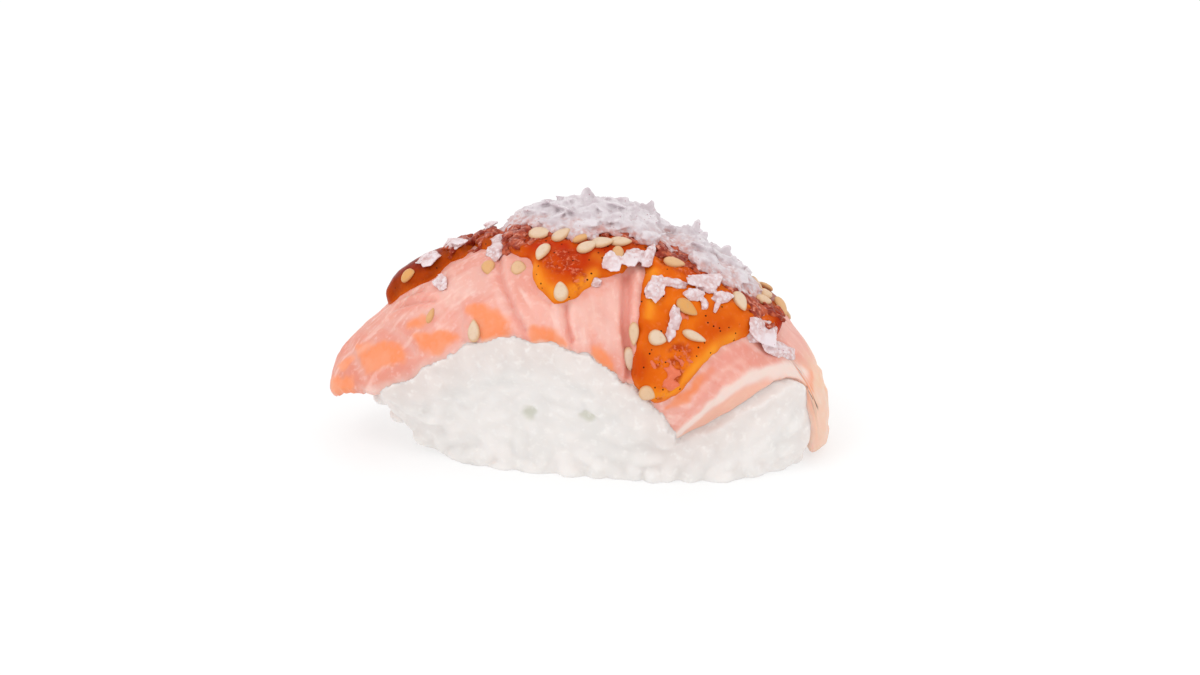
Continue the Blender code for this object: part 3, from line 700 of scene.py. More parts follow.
def salmon_look():
    look = Recipe("salmon_flesh", {
        "Roughness": 0.4, "Coat Weight": 0.05, "Coat Roughness": 0.15, "Subsurface Weight": 0.3, "IOR": 1.4,
        "Subsurface Radius": (1.0, 0.4, 0.25), "Subsurface Scale": 1.2 * MM, "Specular IOR Level": 0.3,
    })
    fine = look.noise(0.9, 4.0)
    look.colour = look.mix(look.cloud(6.0, 2.0, 0.35, 0.68), (228, 157, 142), (236, 175, 161))
    look.paint("tail", (222, 139, 118))
    look.paint(look.ramp("fibre", 0.55, 0.9), (243, 202, 191), 0.6)
    look.paint(look.ramp("fibre", 0.42, 0.1), (224, 142, 126), 0.4)
    look.paint(look.cloud(1.3, 5.0, 0.52, 0.72), (230, 148, 130), 0.45)
    look.paint(look.cloud(0.9, 2.0, 0.5, 0.78), (246, 212, 203), 0.4)
    look.paint("peach", (236, 196, 166), 0.85)
    ripe = look.mix(look.cloud(2.0, 2.0, 0.35, 0.65), (240, 142, 94), (239, 152, 114))
    look.paint("orange", ripe, look.cloud(2.0, 3.0, 0.1, 0.42))
    # painted shade: deeper pink in the folds and along the pleat
    look.paint("deep", (226, 142, 126))
    look.paint("cut", (238, 186, 164), 0.8)
    look.paint("pale", (236, 204, 194))
    look.paint("fat", (238, 216, 207))
    look.paint("rim", (234, 220, 213))
    look.paint("char", (60, 32, 22), look.ramp(fine, 0.2, 0.4))
    gloss = look.add("ShaderNodeMapRange", {"Value": fine, "To Min": 0.32, "To Max": 0.55}).outputs["Result"]
    return look.finish(Normal=look.bump(look.noise(0.6, 3.0), 0.25, 0.1), Roughness=gloss)


def glaze_look():
    look = Recipe("amber_glaze", {
        "Roughness": 0.25, "Subsurface Weight": 0.12, "Subsurface Radius": (1.0, 0.3, 0.05),
        "Subsurface Scale": 0.9 * MM, "IOR": 1.4, "Specular IOR Level": 0.05,
    })
    look.colour = look.mix(look.cloud(4.5, 2.0, 0.38, 0.62), (219, 97, 14), (230, 113, 20))
    look.paint(look.cloud(0.7, 4.0, 0.54, 0.72), (236, 134, 78), 0.35)
    look.paint("red", (186, 49, 10))
    # painted light: gold where light shines through the thin rim
    look.paint("gold", (244, 156, 44))
    look.paint(look.product("crumb", look.cloud(1.4, 3.0, 0.42, 0.6)), (168, 48, 16), 0.8)
    grains = look.product("crumb", look.cloud(0.5, 4.0, 0.5, 0.66))
    look.paint(grains, (226, 124, 92), 0.8)
    look.paint("dark", look.mix(look.cloud(2.0, 3.0, 0.35, 0.65), (118, 24, 2), (146, 42, 8)))
    look.paint(look.specks(0.95, 0.13, 0.6), (40, 14, 6))
    normal = look.bump(look.noise(1.3, 3.0), 0.2, 0.25)
    return look.finish(Normal=look.bump(grains, 0.5, 0.18, normal))


def sesame_look():
    look = Recipe("sesame_seed", {
        "Roughness": 0.45, "Subsurface Weight": 0.15, "Specular IOR Level": 0.3,
        "Subsurface Radius": (1.0, 0.7, 0.4), "Subsurface Scale": 0.4 * MM,
    })
    look.colour = look.mix("gold", (222, 200, 177), (218, 158, 88))
    # painted shade: darker rim along each seed's outline
    look.paint("edge", (206, 156, 104), 0.7)
    look.paint(look.cloud(0.5, 4.0, 0.5, 0.75), (200, 158, 118), 0.35)
    return look.finish(Normal=look.bump(look.noise(0.25, 4.0), 0.35, 0.06))


def crust_look():
    look = Recipe("seared_crust", {
        "Roughness": 0.3, "Subsurface Weight": 0.15, "Subsurface Radius": (1.0, 0.4, 0.25),
        "Subsurface Scale": 0.5 * MM, "Specular IOR Level": 0.2,
    })
    look.colour = look.mix(look.cloud(1.6, 3.0, 0.4, 0.62), (140, 38, 14), (190, 90, 58))
    look.paint(look.cloud(0.6, 4.0, 0.52, 0.7), (220, 146, 124))
    look.paint(look.cloud(0.9, 4.0, 0.52, 0.66), (118, 30, 12), 0.7)
    look.paint("pink", (232, 122, 88), 0.85)
    return look.finish(Normal=look.bump(look.noise(0.4, 4.0), 0.5, 0.1))


def salt_look():
    look = Recipe("salt_flake", {
        "Roughness": 0.4, "Subsurface Weight": 0.6, "Subsurface Radius": (1.0, 0.95, 1.0),
        "Subsurface Scale": 0.5 * MM, "IOR": 1.4, "Specular IOR Level": 0.3,
    })
    look.colour = look.mix(look.cloud(1.8, 3.0, 0.4, 0.62), (220, 212, 215), (205, 193, 197))
    look.paint("lone", (232, 220, 223), 0.8)
    stain_and_shade = look.product("low", look.cloud(0.6, 4.0, 0.36, 0.68))
    look.paint(stain_and_shade, (200, 142, 130), look.ramp("lone", 3.0, -1.2))
    gaps = look.product("low", look.ramp(look.cells(0.6).outputs["Distance"], 0.38, 0.62))
    look.paint(gaps, (196, 134, 126), 0.4)
    look.paint(look.specks(0.5, 0.09, 0.2), (182, 142, 150))
    normal = look.bump(look.noise(0.45, 5.0), 0.45, 0.12)
    return look.finish(Normal=look.bump(gaps, -0.6, 0.2, normal))


def rice_look():
    look = Recipe("cooked_rice", {
        "Roughness": 0.35, "Coat Weight": 0.1, "Coat Roughness": 0.15, "Subsurface Weight": 0.6, "IOR": 1.4,
        "Subsurface Radius": (1.0, 0.92, 0.85), "Subsurface Scale": 2.0 * MM, "Specular IOR Level": 0.3,
    })
    look.colour = look.mix(look.cloud(4.0, 2.0, 0.38, 0.62), (228, 224, 221), (234, 229, 226))
    # painted shade: greenish-grey in the gaps between grains
    look.paint("pit_and_shade", (208, 208, 190), 0.65)
    # painted shade: darker, pinker rice under the slice's edge
    look.paint("stain_and_shade", (222, 206, 200))
    # painted highlights: pale streaks along the grains
    look.paint(look.cloud(1.1, 2.0, 0.52, 0.78), (245, 242, 239), 0.5)
    return look.finish(Normal=look.bump(look.noise(0.7, 3.0), 0.2, 0.1))


SLICE_CELLS = (290, 150)
# Rows and columns crowd at the ends and edges by these shares
SLICE_CROWDING = (0.4, 0.3)
SLICE_SHARP = math.radians(55)
LEAST_BELOW_CUT = 0.4
CHAR_SPOTS = [(87.0, -6.1), (88.2, -5.9), (77.4, -7.4), (78.6, -6.9), (3.5, -8.5)]
SLICE_INSET = 0.25
RIM_DIP = 0.15
RIM_DIP_REACH = (0.2, 1.8)
RIM_ROUND = 0.45
# How far the rice comes up to the slice's edge at mm along, from not at all to all the way
SWELL_SHARE = [(0, 0), (6, 0), (11, 1), (80, 1), (87, 0.6), (97, 0.4)]
RIM_SHARES = (0.1, 0.28, 0.5, 0.72, 0.9)


def slice_place(share, cross, bevelled):
    """Along and across in mm at shares of the slice's own outline, share 0 to 1 and cross -1 to 1."""
    start = at_stations(START_LINE, cross) * RIDGE_LENGTH + SLICE_INSET
    end = at_stations(END_LINE, cross)
    if bevelled:
        end = end + at_stations(CUT_BEVEL, cross)
    end = end * RIDGE_LENGTH - SLICE_INSET
    along = start + (end - start) * share
    arc = edge_arc(along, np.sign(cross)) - SLICE_INSET
    return along, cross * arc


def slice_depth(share, cross):
    middle = at_stations(THICKNESS, share)
    rim = at_stations(RIM_THICKNESS, share * at_stations(END_LINE, cross) * RIDGE_LENGTH)
    return rim + (middle - rim) * smooth(np.minimum(share, 1 - np.abs(cross)), 0, RIM_REACH)


def slice_masks(along, across, depth_share, cut):
    """Where the flesh is orange, pale, fatty or charred, and deep pink where shade is painted in its folds;
    depth_share is 0 on top and 1 below.
    """
    top = 1 - depth_share
    wander = 0.5 * uneven(along, across, 1.5, 31) + 0.2 * uneven(along, across, 0.7, 35)
    orange = smooth(deepest_inside(along, across, ORANGE_PATCHES) + wander, -0.45, 0.7)
    wander = 0.5 * uneven(along, across, 1.2, 32)
    pale = smooth(deepest_inside(along, across, PALE_PATCHES) + wander, -0.6, 1.0) * 0.3
    for line in WALLS:
        distance, inside = fold_distance(along, across, line)
        pale = np.maximum(pale, 0.24 * inside * bell(distance / 0.6))
    to_edge = to_rim(along, across) + 0.45 * uneven(along, across, 1.1, 33)
    reach = 0.8 + 1.2 * (1 - smooth(along, 20.0, 32.0)) * (across < 0)
    rim = (1 - smooth(to_edge / reach, -0.1, 1.0)) * smooth(along, 4.0, 9.0)
    rim = rim * (1 - smooth(along, 74.0, 78.0)) * 0.5
    # Painted shade: deeper pink in the creases, the pleat's groove and the pinker patches
    deep = np.zeros(along.shape)
    for points, depth, half in CREASES:
        distance, inside = fold_distance(along, across, points)
        deep = np.maximum(deep, 0.95 * depth * inside * bell(distance / half))
    distance, inside = fold_distance(along, across, PLEAT)
    deep = np.maximum(deep, 0.7 * inside * (1 - smooth(np.abs(distance), 0.4, 1.1)))
    deep = np.maximum(deep, 0.55 * smooth(deepest_inside(along, across, DEEP_PATCHES), -0.5, 0.6))
    distance, inside = fold_distance(along, across, FAT_LINE)
    ragged = -(distance + 0.35 * uneven(along, across, 1.6, 34))
    sloping = smooth(ragged, 1.2, 2.6) * inside * (along > CUT_FROM)
    fat = 0.95 * smooth(ragged, -0.7, 0.4) * (1 - smooth(ragged, 1.3, 2.6))
    fat = fat * inside * top * (along > CUT_FROM)
    # Painted shade along the fold beside the line of fat
    deep = np.maximum(deep, 0.35 * bell((distance - 1.5) / 0.7) * inside * (along > CUT_FROM))
    fat = np.maximum(fat, 0.8 * cut * smooth(depth_share, 0.05, 0.4))
    char = np.zeros(along.shape)
    for spot_along, spot_across in CHAR_SPOTS:
        char = np.maximum(char, 1 - smooth(np.hypot(along - spot_along, across - spot_across), 0.1, 0.45))
    return {
        "orange": orange * (1 - 0.5 * depth_share),
        "pale": pale,
        "deep": np.clip(deep, 0, 1) * top,
        "rim": rim,
        "fat": fat,
        "char": char,
        "cut": sloping,
        "tail": 1 - smooth(along, 6, 24),
        "fibre": 0.5 + 0.5 * fibres(along, across),
        "peach": smooth(along + 2.0 * uneven(along, across, 2.6, 36), 78.0, 88.0),
    }


def make_slice(material):
    """Closed draped slice: top and lower face, and rows that round its rim or make its bevelled cut."""
    rows, columns = SLICE_CELLS[0] + 1, SLICE_CELLS[1] + 1
    share = np.linspace(0, 1, rows)
    share = share - SLICE_CROWDING[0] * np.sin(math.tau * share) / math.tau
    cross = np.linspace(-1, 1, columns)
    cross = np.clip(cross + SLICE_CROWDING[1] * np.sin(math.pi * cross) / math.pi, -1, 1)
    share, cross = np.meshgrid(share, cross, indexing="ij")
    above, below = (slice_place(share, cross, bevelled) for bevelled in (False, True))
    dip = RIM_DIP * (1 - smooth(to_rim(*above), *RIM_DIP_REACH)) * at_stations(SWELL_SHARE, above[0])
    point, outward, _, _ = drape_frame(*above)
    top = (point + outward * (relief(*above) - dip)[..., None]).reshape(-1, 3)
    depth = np.maximum(slice_depth(share, cross), CUT_DROP * cut_share(*below) + LEAST_BELOW_CUT)
    low = lifted(*below, -depth).reshape(-1, 3)

    count = rows * columns
    index, cells = grid_cells(rows, columns)
    loop = np.concatenate([index[:-1, 0], index[-1, :-1], index[:0:-1, -1], index[0, :0:-1]])
    high, deep = top[loop], low[loop]
    tangent = np.roll(high, -1, axis=0) - np.roll(high, 1, axis=0)
    aside = unit(np.cross(tangent, outward.reshape(-1, 3)[loop]))
    cut = (share.ravel()[loop] > 0.999) * smooth(-cross.ravel()[loop], 0.12, 0.3)
    swell = RIM_ROUND * np.linalg.norm(high - deep, axis=1) * (1 - cut)
    # Along, across and share of the depth, for the masks
    above = np.stack([above[0].ravel(), above[1].ravel(), np.zeros(count)])
    below = np.stack([below[0].ravel(), below[1].ravel(), np.ones(count)])
    points, places = [top, low], [above, below]
    for down in RIM_SHARES:
        points.append(high + (deep - high) * down + aside * (swell * math.sin(math.pi * down))[:, None])
        places.append(above[:, loop] + (below[:, loop] - above[:, loop]) * down)
    cuts = np.concatenate([np.zeros(2 * count), np.tile(cut, len(RIM_SHARES))])

    cells = cells.reshape(-1, 4)
    faces = [cells, cells[:, ::-1] + count]
    rings = [2 * count + ring * len(loop) + np.arange(len(loop)) for ring in range(len(RIM_SHARES))]
    rings = [loop, *rings, loop + count]
    for upper, lower in zip(rings, rings[1:]):
        faces.append(np.stack([upper, lower, np.roll(lower, -1), np.roll(upper, -1)], -1))
    masks = slice_masks(*np.concatenate(places, axis=1), cuts)
    points, faces = np.concatenate(points), np.concatenate(faces)
    add_piece("salmon_slice", points, faces, material, "salmon", masks, SLICE_SHARP)


def make_glaze(material, field):
    """Closed sheet over the pools, rooted in the slice, on the cells of the field's grid that it covers."""
    kept = field.depth > GLAZE_ROOT / 2
    cells = kept[:-1, :-1] & kept[1:, :-1] & kept[1:, 1:] & kept[:-1, 1:]
    heights = (field.glaze, GLAZE_ROOT)
    sheets = [lifted(field.along, field.across, field.base + height) for height in heights]
    points = np.concatenate(sheets).reshape(-1, 3)
    _, corners = grid_cells(*kept.shape)
    lower = kept.size
    faces = [corners[cells], corners[cells][:, ::-1] + lower]
    padded = np.pad(cells, 1)
    for (start, end), (di, dj) in (((0, 1), (0, -1)), ((1, 2), (1, 0)), ((2, 3), (0, 1)), ((3, 0), (-1, 0))):
        beyond = padded[1 + di:padded.shape[0] - 1 + di, 1 + dj:padded.shape[1] - 1 + dj]
        first, last = corners[cells & ~beyond][:, (start, end)].T
        faces.append(np.stack([first, first + lower, last + lower, last], -1))
    used, faces = np.unique(np.concatenate(faces), return_inverse=True)
    masks = glaze_masks(field.along.ravel(), field.across.ravel(), field.depth.ravel())
    masks = {mask: np.tile(values, 2)[used] for mask, values in masks.items()}
    add_piece("glaze", points[used], faces.reshape(-1, 4), material, "salmon", masks)


def glaze_masks(along, across, depth):
    """Where the glaze is dark, red or crumbly, and gold where light through its thin rim is painted."""
    ridge = smooth(across + 1.2 * uneven(along, across, 3.0, 41), -6.5, -2.5)
    blob = 1 - smooth(along, 30.0, 36.0)
    low = smooth(-across, 0.8, 3.0) * (1 - smooth(along, 17.0, 21.0))
    thin = 0.72 + 0.28 * smooth(depth, 0.5, 2.0)
    dark = np.maximum(0.8 * ridge, blob * (1 - 0.5 * low)) * smooth(depth, -0.3, 0.35) * thin
    red = 0.3 * uneven(along, across, 3.4, 42)
    for *spot, strength in DARK_SPOTS:
        red = np.maximum(red, strength * np.exp(-spot_distance(along, across, spot) ** 1.5))
    red = np.clip(red * (1 + 0.3 * uneven(along, across, 1.6, 44)), 0, 1)
    gold = np.zeros(along.shape)
    for line, strength in GOLD_LINES:
        distance, inside = fold_distance(along, across, line)
        gold = np.maximum(gold, strength * inside * bell(distance / GOLD_HALF))
    gold = gold * (0.8 + 0.3 * uneven(along, across, 1.5, 43))
    return {"dark": dark, "red": red, "gold": np.clip(gold, 0, 1), "crumb": crumbs(along, across)}


# Sesame seeds as (along, across, heading in degrees, how golden from 0 to 1, plumpness)
SESAME = [
    (20.7, -1, -25, 1, 1.2), (32.5, -7, -94, 0.8, 1), (36.8, -8.5, -19, 0.5, 1.25),
    (22.2, -9.6, 44, 0.8, 0.6), (28.2, -15.5, 70, 0.1, 0.9), (40.2, -4, 1, 0.15, 1.1),
    (40.5, -7.8, -110, 0.1, 1), (43, -4.8, 40, 0.2, 1), (45.8, -5.6, 35, 0.8, 0.6),
    (46.6, -7.1, 40, 0.15, 0.85), (48.5, -6, 12, 0.1, 1.1), (50.9, -5.3, 15, 0.2, 0.9),
    (50.8, -7.9, -87, 0.7, 0.85), (43, -13.9, 95, 0.1, 1.05), (58.5, -6.2, 22, 0.6, 0.8),
    (62.2, -11.8, -9, 1, 1.1), (68.8, -6.5, -48, 0.1, 1), (59.8, -17.4, 8, 0.1, 1.1),
    (65, -14.8, 12, 0.1, 0.7), (56, -18, -71, 0.3, 0.7), (56.9, -21.4, -64, 0, 0.8),
    (62.6, -24.4, 7, 0.4, 1.1), (71.9, 4.6, -60, 0.3, 1), (72.3, -2.2, 42, 0.3, 0.9),
    (72.7, 0.6, 58, 0.35, 0.9), (75.2, 0, -53, 0.7, 0.9), (37.5, 11.5, 30, 0.2, 1), (41.5, 11, 120, 0.4, 1),
    (45.5, 13, 75, 0.1, 1), (47.5, 16, 100, 0.3, 1), (50.5, 11.5, 20, 0.7, 0.9), (54, 12.5, 140, 0.1, 1),
    (57.5, 10.5, 60, 0.2, 1.1), (61, 12, 10, 0.5, 0.9), (65.5, 15.5, 85, 0.1, 1), (64.5, 10.5, 160, 0.3, 1),
    (69.5, 9.5, 45, 0.1, 0.95), (73.5, 7, 110, 0.6, 1), (31, 8.5, 70, 0.2, 1), (22.5, 8, 150, 0.5, 1),
    (52, 18.5, 35, 0.2, 0.9), (78.5, 6.5, 80, 0.2, 1),
]
SESAME_HALF = (1.62, 0.98, 0.5)
# Shorter and longer seeds, and seeds sunk deeper, by their number in the list
SESAME_SHORT = {0: 0.72, 1: 0.78, 2: 0.72, 3: 0.7, 17: 0.77, 18: 1.15, 21: 0.75}
SESAME_SUNK = {0: 0.3, 1: 0.2, 2: 0.2, 3: 0.28}
SESAME_RINGS = (18, 12)
SESAME_LIFT = 0.2
SESAME_TILT = (0.22, 0.15)


def unit_ball(segments, rings):
    """Points and faces of a ball whose poles are on its X axis."""
    points = [(1.0, 0.0, 0.0)]
    for ring in range(1, rings):
        polar = math.pi * ring / rings
        for step in range(segments):
            turn = math.tau * step / segments
            wide = math.sin(polar)
            points.append((math.cos(polar), wide * math.cos(turn), wide * math.sin(turn)))
    points.append((-1.0, 0.0, 0.0))
    last = len(points) - 1
    faces = []
    for step in range(segments):
        ahead = (step + 1) % segments
        faces.append((0, 1 + step, 1 + ahead))
        for ring in range(rings - 2):
            first = 1 + ring * segments
            faces.append((first + step, first + segments + step, first + segments + ahead, first + ahead))
        first = last - segments
        faces.append((first + step, last, first + ahead))
    return np.array(points), faces


# Seared crumbs in the glaze: (along from, along to, across from, across to, how many, half size, how pink)
CRUST_BEDS = [
    (34.6, 39.6, -5.5, 2.5, 80, 0.55, 0), (26, 34, -1.5, 5.5, 60, 0.58, 0),
    (40, 57, -4.6, -2.2, 90, 0.5, 0), (55, 61, -5.5, 1, 70, 0.55, 0), (61, 73, -6, -2.8, 60, 0.5, 0),
    (64.2, 66, -22.8, -20.2, 7, 0.6, 1), (62.8, 64.6, -19.6, -18.2, 3, 0.4, 1),
    (60.6, 61.2, -21.4, -20.6, 1, 0.45, 1), (65, 66.4, -18.8, -17.6, 3, 0.35, 1),
    (61.8, 63, -14.2, -12.8, 4, 0.45, 1), (70, 75, -7, -2, 26, 0.45, 0), (36, 74, 8.5, 11.5, 90, 0.5, 0),
]
CRUST_SHAPE = np.array([1.75, 0.75, 0.6])
CRUST_VOXEL = 0.2
CRUST_RAGGED = (0.7, 1.25)
CRUST_SIZES = (0.7, 1.3)
CRUST_TILT = 0.8
SMALL_BALL = (8, 6)


class Heap:
    """Many small shapes gathered into one mesh, in mm."""

    def __init__(self):
        self.points = []
        self.faces = []
        self.masks = {}
        self.count = 0

    def add(self, points, faces, masks=None):
        self.points.append(points)
        self.faces.extend([[self.count + corner for corner in face] for face in faces])
        for mask, values in (masks or {}).items():
            self.masks.setdefault(mask, []).append(np.broadcast_to(values, len(points)))
        self.count += len(points)

    def joined(self):
        """All points, faces and masks."""
        masks = {mask: np.concatenate(values) for mask, values in self.masks.items()}
        return np.concatenate(self.points), self.faces, masks

    def fused(self, voxel, iterations):
        """Heap with one closed surface around everything, its masks taken from the nearest points."""
        points, faces, masks = self.joined()
        rough = bpy.data.meshes.new("rough")
        rough.from_pydata(points * MM, [], faces)
        holder = put("rough", rough)
        fuse = holder.modifiers.new("fuse", "REMESH")
        fuse.mode = "VOXEL"
        fuse.voxel_size = voxel * MM
        stick = holder.modifiers.new("stick", "SMOOTH")
        stick.factor = 0.5
        stick.iterations = iterations
        skin = holder.evaluated_get(bpy.context.evaluated_depsgraph_get()).to_mesh()
        places = np.empty(len(skin.vertices) * 3, np.float32)
        skin.vertices.foreach_get("co", places)
        places = places.reshape(-1, 3).astype(float) / MM
        fused_faces = [tuple(face.vertices) for face in skin.polygons]
        bpy.data.objects.remove(holder)
        if masks:
            tree = KDTree(len(points))
            for index, point in enumerate(points):
                tree.insert(point, index)
            tree.balance()
            nearest = [tree.find(place)[1] for place in places]
            masks = {mask: values[nearest] for mask, values in masks.items()}
        heap = Heap()
        heap.add(places, fused_faces, masks)
        return heap

    def piece(self, name, material, node):
        points, faces, masks = self.joined()
        add_piece(name, points, faces, material, node, masks)


def moved(points, matrix):
    matrix = np.array(matrix)
    return points @ matrix[:3, :3].T + matrix[:3, 3]


def turned(angle, axis):
    return Matrix.Rotation(angle, 4, axis)


def tilted(draw, most_x, most_y):
    """Random tilt about X and then Y, up to these angles either way."""
    return turned(draw.uniform(-most_x, most_x), "X") @ turned(draw.uniform(-most_y, most_y), "Y")


def spun(draw, least, most):
    """Random heading with a tilt between two angles."""
    turn = turned(draw.uniform(0, math.tau), "Z")
    return turn @ turned(draw.uniform(least, most), "X")


def make_sesame(material, field):
    """Seeds: flattened drops, each a little different, half sunk where they lie."""
    draw = np.random.default_rng(SEED)
    ball, faces = unit_ball(*SESAME_RINGS)
    x, y, z = ball.T
    narrow = 1 - 0.3 * x - 0.12 * x * x
    dent = 1 - 0.25 * np.exp(-(x / 0.5) ** 2 - (y / 0.4) ** 2)
    # Rim of each seed, for the painted shade along its outline
    edge = smooth(np.hypot(x, y), 0.72, 0.97)
    heap = Heap()
    for number, (along, across, heading, gold, plump) in enumerate(SESAME):
        size = draw.uniform(0.94, 1.06)
        length = x * SESAME_HALF[0] * size * SESAME_SHORT.get(number, 1.0)
        width = y * SESAME_HALF[1] * narrow * plump * size
        shape = np.stack([length, width, z * SESAME_HALF[2] * narrow * dent], -1)
        tilt = tilted(draw, *SESAME_TILT)
        lift = SESAME_LIFT - SESAME_SUNK.get(number, 0.0)
        place = field.laid_on(along, across, lift) @ turned(math.radians(heading), "Z") @ tilt
        heap.add(moved(shape, place), faces, {"gold": gold, "edge": edge})
    heap.piece("sesame_seeds", material, "salmon")


def make_crust(material, field):
    """Rough brown crumbs of seared fish, half sunk in the glaze and stuck together."""
    draw = np.random.default_rng(SEED + 4)
    heap = Heap()
    for low_along, high_along, low_across, high_across, count, size, pink in CRUST_BEDS:
        for _ in range(count):
            along = draw.uniform(low_along, high_along)
            across = draw.uniform(low_across, high_across)
            ball, faces = unit_ball(*SMALL_BALL)
            shape = ball * draw.uniform(*CRUST_RAGGED, (len(ball), 1)) * size * draw.uniform(*CRUST_SIZES)
            place = field.laid_on(along, across, 0.0) @ spun(draw, 0, CRUST_TILT)
            heap.add(moved(shape * CRUST_SHAPE, place), faces, {"pink": pink})
    heap.fused(CRUST_VOXEL, 1).piece("seared_crumbs", material, "salmon")


# Salt flakes lying apart as (along, across, heading in degrees, half length, half width)
LONE_FLAKES = [
    (25, -5.6, -75, 1.7, 1), (24.1, 0, -60, 2.5, 1.5), (28, 0.6, -52, 3, 1.1), (33.8, -3.2, -80, 2.2, 1.2),
    (33.6, -0.4, 70, 1.8, 1.3), (32.4, 3.4, 10, 1.2, 1), (52.5, -7.5, 80, 2.6, 1.4),
    (54.9, -6.2, 87, 2.2, 0.8), (50.2, -9.4, 90, 1.8, 1.3), (48.2, -12, 8, 0.8, 0.7),
    (57, -11, 80, 2.1, 1.5), (59.3, -9.3, 21, 1.8, 0.7), (62.6, -7.4, 40, 2.7, 1.2),
    (62.3, -9.6, 25, 1.6, 0.8), (64.3, -7.4, 46, 1.2, 0.7), (66.2, -7.6, 56, 1.5, 0.9),
    (66, -9.3, -88, 1.2, 0.35), (64.3, -10.2, -54, 1, 0.6), (61.2, -14, 93, 1.7, 0.9),
    (61.6, -15.9, -79, 1.1, 0.6), (73, -8.2, 20, 2.7, 2.1), (77, -7.2, 40, 3.1, 1.3),
    (36.5, 9.5, 20, 1.6, 1.2), (43.5, 14, 110, 1.4, 1.1), (52.5, 15, 60, 1.8, 1.2),
    (58.5, 13.5, 15, 1.5, 1.1), (66, 12, 75, 1.9, 1.2), (73, 10.5, 140, 1.5, 1.1), (29.5, 6, 35, 1.6, 1.2),
    (48, 20.5, 80, 1.2, 0.9), (22, 10.5, 20, 1.2, 0.9),
]
# Such flakes that stick in the pile
SET_FLAKES = [
    (67.6, -1.8, -74, 1.9, 1.5), (70, -1, 30, 1.4, 1), (62.5, -3, 30, 2.2, 1.4), (65, -3.2, -20, 2, 1.3),
    (69.3, 1.5, 10, 2, 1.4), (66, 1.5, -40, 2.4, 1.6), (63, 2, 20, 2.2, 1.5), (69, 4.5, 75, 2.2, 1.5),
    (65.5, 5.5, 0, 2.2, 1.5), (61, 6, 45, 2.2, 1.4), (56.5, -1.2, -30, 1.7, 1.1), (54.5, -3.2, 20, 1.6, 1),
    (57.5, 6.5, 60, 2.2, 1.4), (52, 7, 30, 2.2, 1.5), (46, 7.2, -20, 2.4, 1.5), (41, 7, 50, 2.2, 1.4),
    (37.5, 5.5, 10, 2, 1.3), (42, -2.4, 15, 1.8, 1.1), (46.5, -3.4, -10, 1.8, 1), (49.5, -2.2, 35, 1.6, 1),
]
# Upright plates that make the outline of the pile: (along, height over the glaze, half width)
CREST = [
    (36.4, 0.8, 1.6), (38.6, 1.3, 1.8), (40.6, 1.4, 1.7), (42.6, 1.3, 1.7), (44.4, 1.5, 1.5), (46, 3, 1.9),
    (47.8, 1.8, 1.6), (49, 2, 1.5), (50.2, 2.5, 2), (52.2, 2, 1.4), (53.9, 3, 1.3), (55, 1.4, 0.9),
    (58.8, 2.2, 1.3), (60.4, 3, 1.4), (62.4, 1.4, 0.9), (65.4, 2.5, 1.5), (68, 1.4, 1.2), (70.4, 0.6, 0.9),
]
CREST_ACROSS = (2.0, 4.5)
CREST_LEAN = 0.35
CREST_TURN = 0.6
CREST_THICK = (0.45, 0.7)
# Each plate and its lower ones: share of its height, shift along in half widths, shift across
CREST_GROUP = [(1.0, 0.0, 0.0), (0.75, 0.8, 1.0), (0.7, -0.8, -1.0), (0.5, 0.2, 2.0)]
# Outline of such a plate, as shares of its half width and its height
SPIKE = [
    (-1.0, -0.3), (-1.0, 0.2), (-0.72, 0.52), (-0.5, 0.6), (-0.34, 0.94), (0.02, 1.0), (0.3, 0.84),
    (0.5, 0.56), (0.92, 0.4), (1.0, -0.3),
]
# The pile at stations along: where its near edge lies across, and how high it is over the glaze
PILE_NEAR = [
    (32, 2), (36, 1), (38, 0), (40, -2.4), (43, -4.4), (45.5, -4.9), (48, -4), (50, -3.2), (52.6, -2.9),
    (54.6, -4.4), (56.2, -2.8), (58.2, -2), (60.3, -3), (62, -4.6), (66, -4.8), (68, -3.6), (72, -2.5),
]
PILE_FAR = 9.0
PILE_SLOPE = 3.6
PILE_HEIGHT = [
    (32, 0.3), (36, 0.6), (39, 1.0), (43, 1.4), (47, 1.7), (51, 1.6), (54.6, 1.0), (57.0, 0.2), (60.5, 1.1),
    (63.6, 0.4), (67, 0.8), (72, 0.2),
]
PILE_SPAN = (34.0, 71.5)
# Balls of packed salt under the plates: gap between them and half width, in mm
BED_GAP = 1.1
BED_HALF = 1.15
PILE_PLATES = 150
PLATE_HALF = (1.2, 2.9)
PILE_CRUMBS = 900
CRUMB_HALF = (0.24, 0.5)
CRUMB_REACH = 1.6
PILE_VOXEL = 0.2
FLAKE_VOXEL = 0.15
FLAKE_SWELL = 1.15
FLAKE_LAYERS = (1.0, 0.8, 0.55)
FLAKE_THICK = 0.36
FLAKE_CORNERS = (9, 15)
FLAKE_TILT = (0.25, 0.2)
# Heights over the glaze between which the stain on the salt fades
SALT_STAINED = (0.35, 1.3)


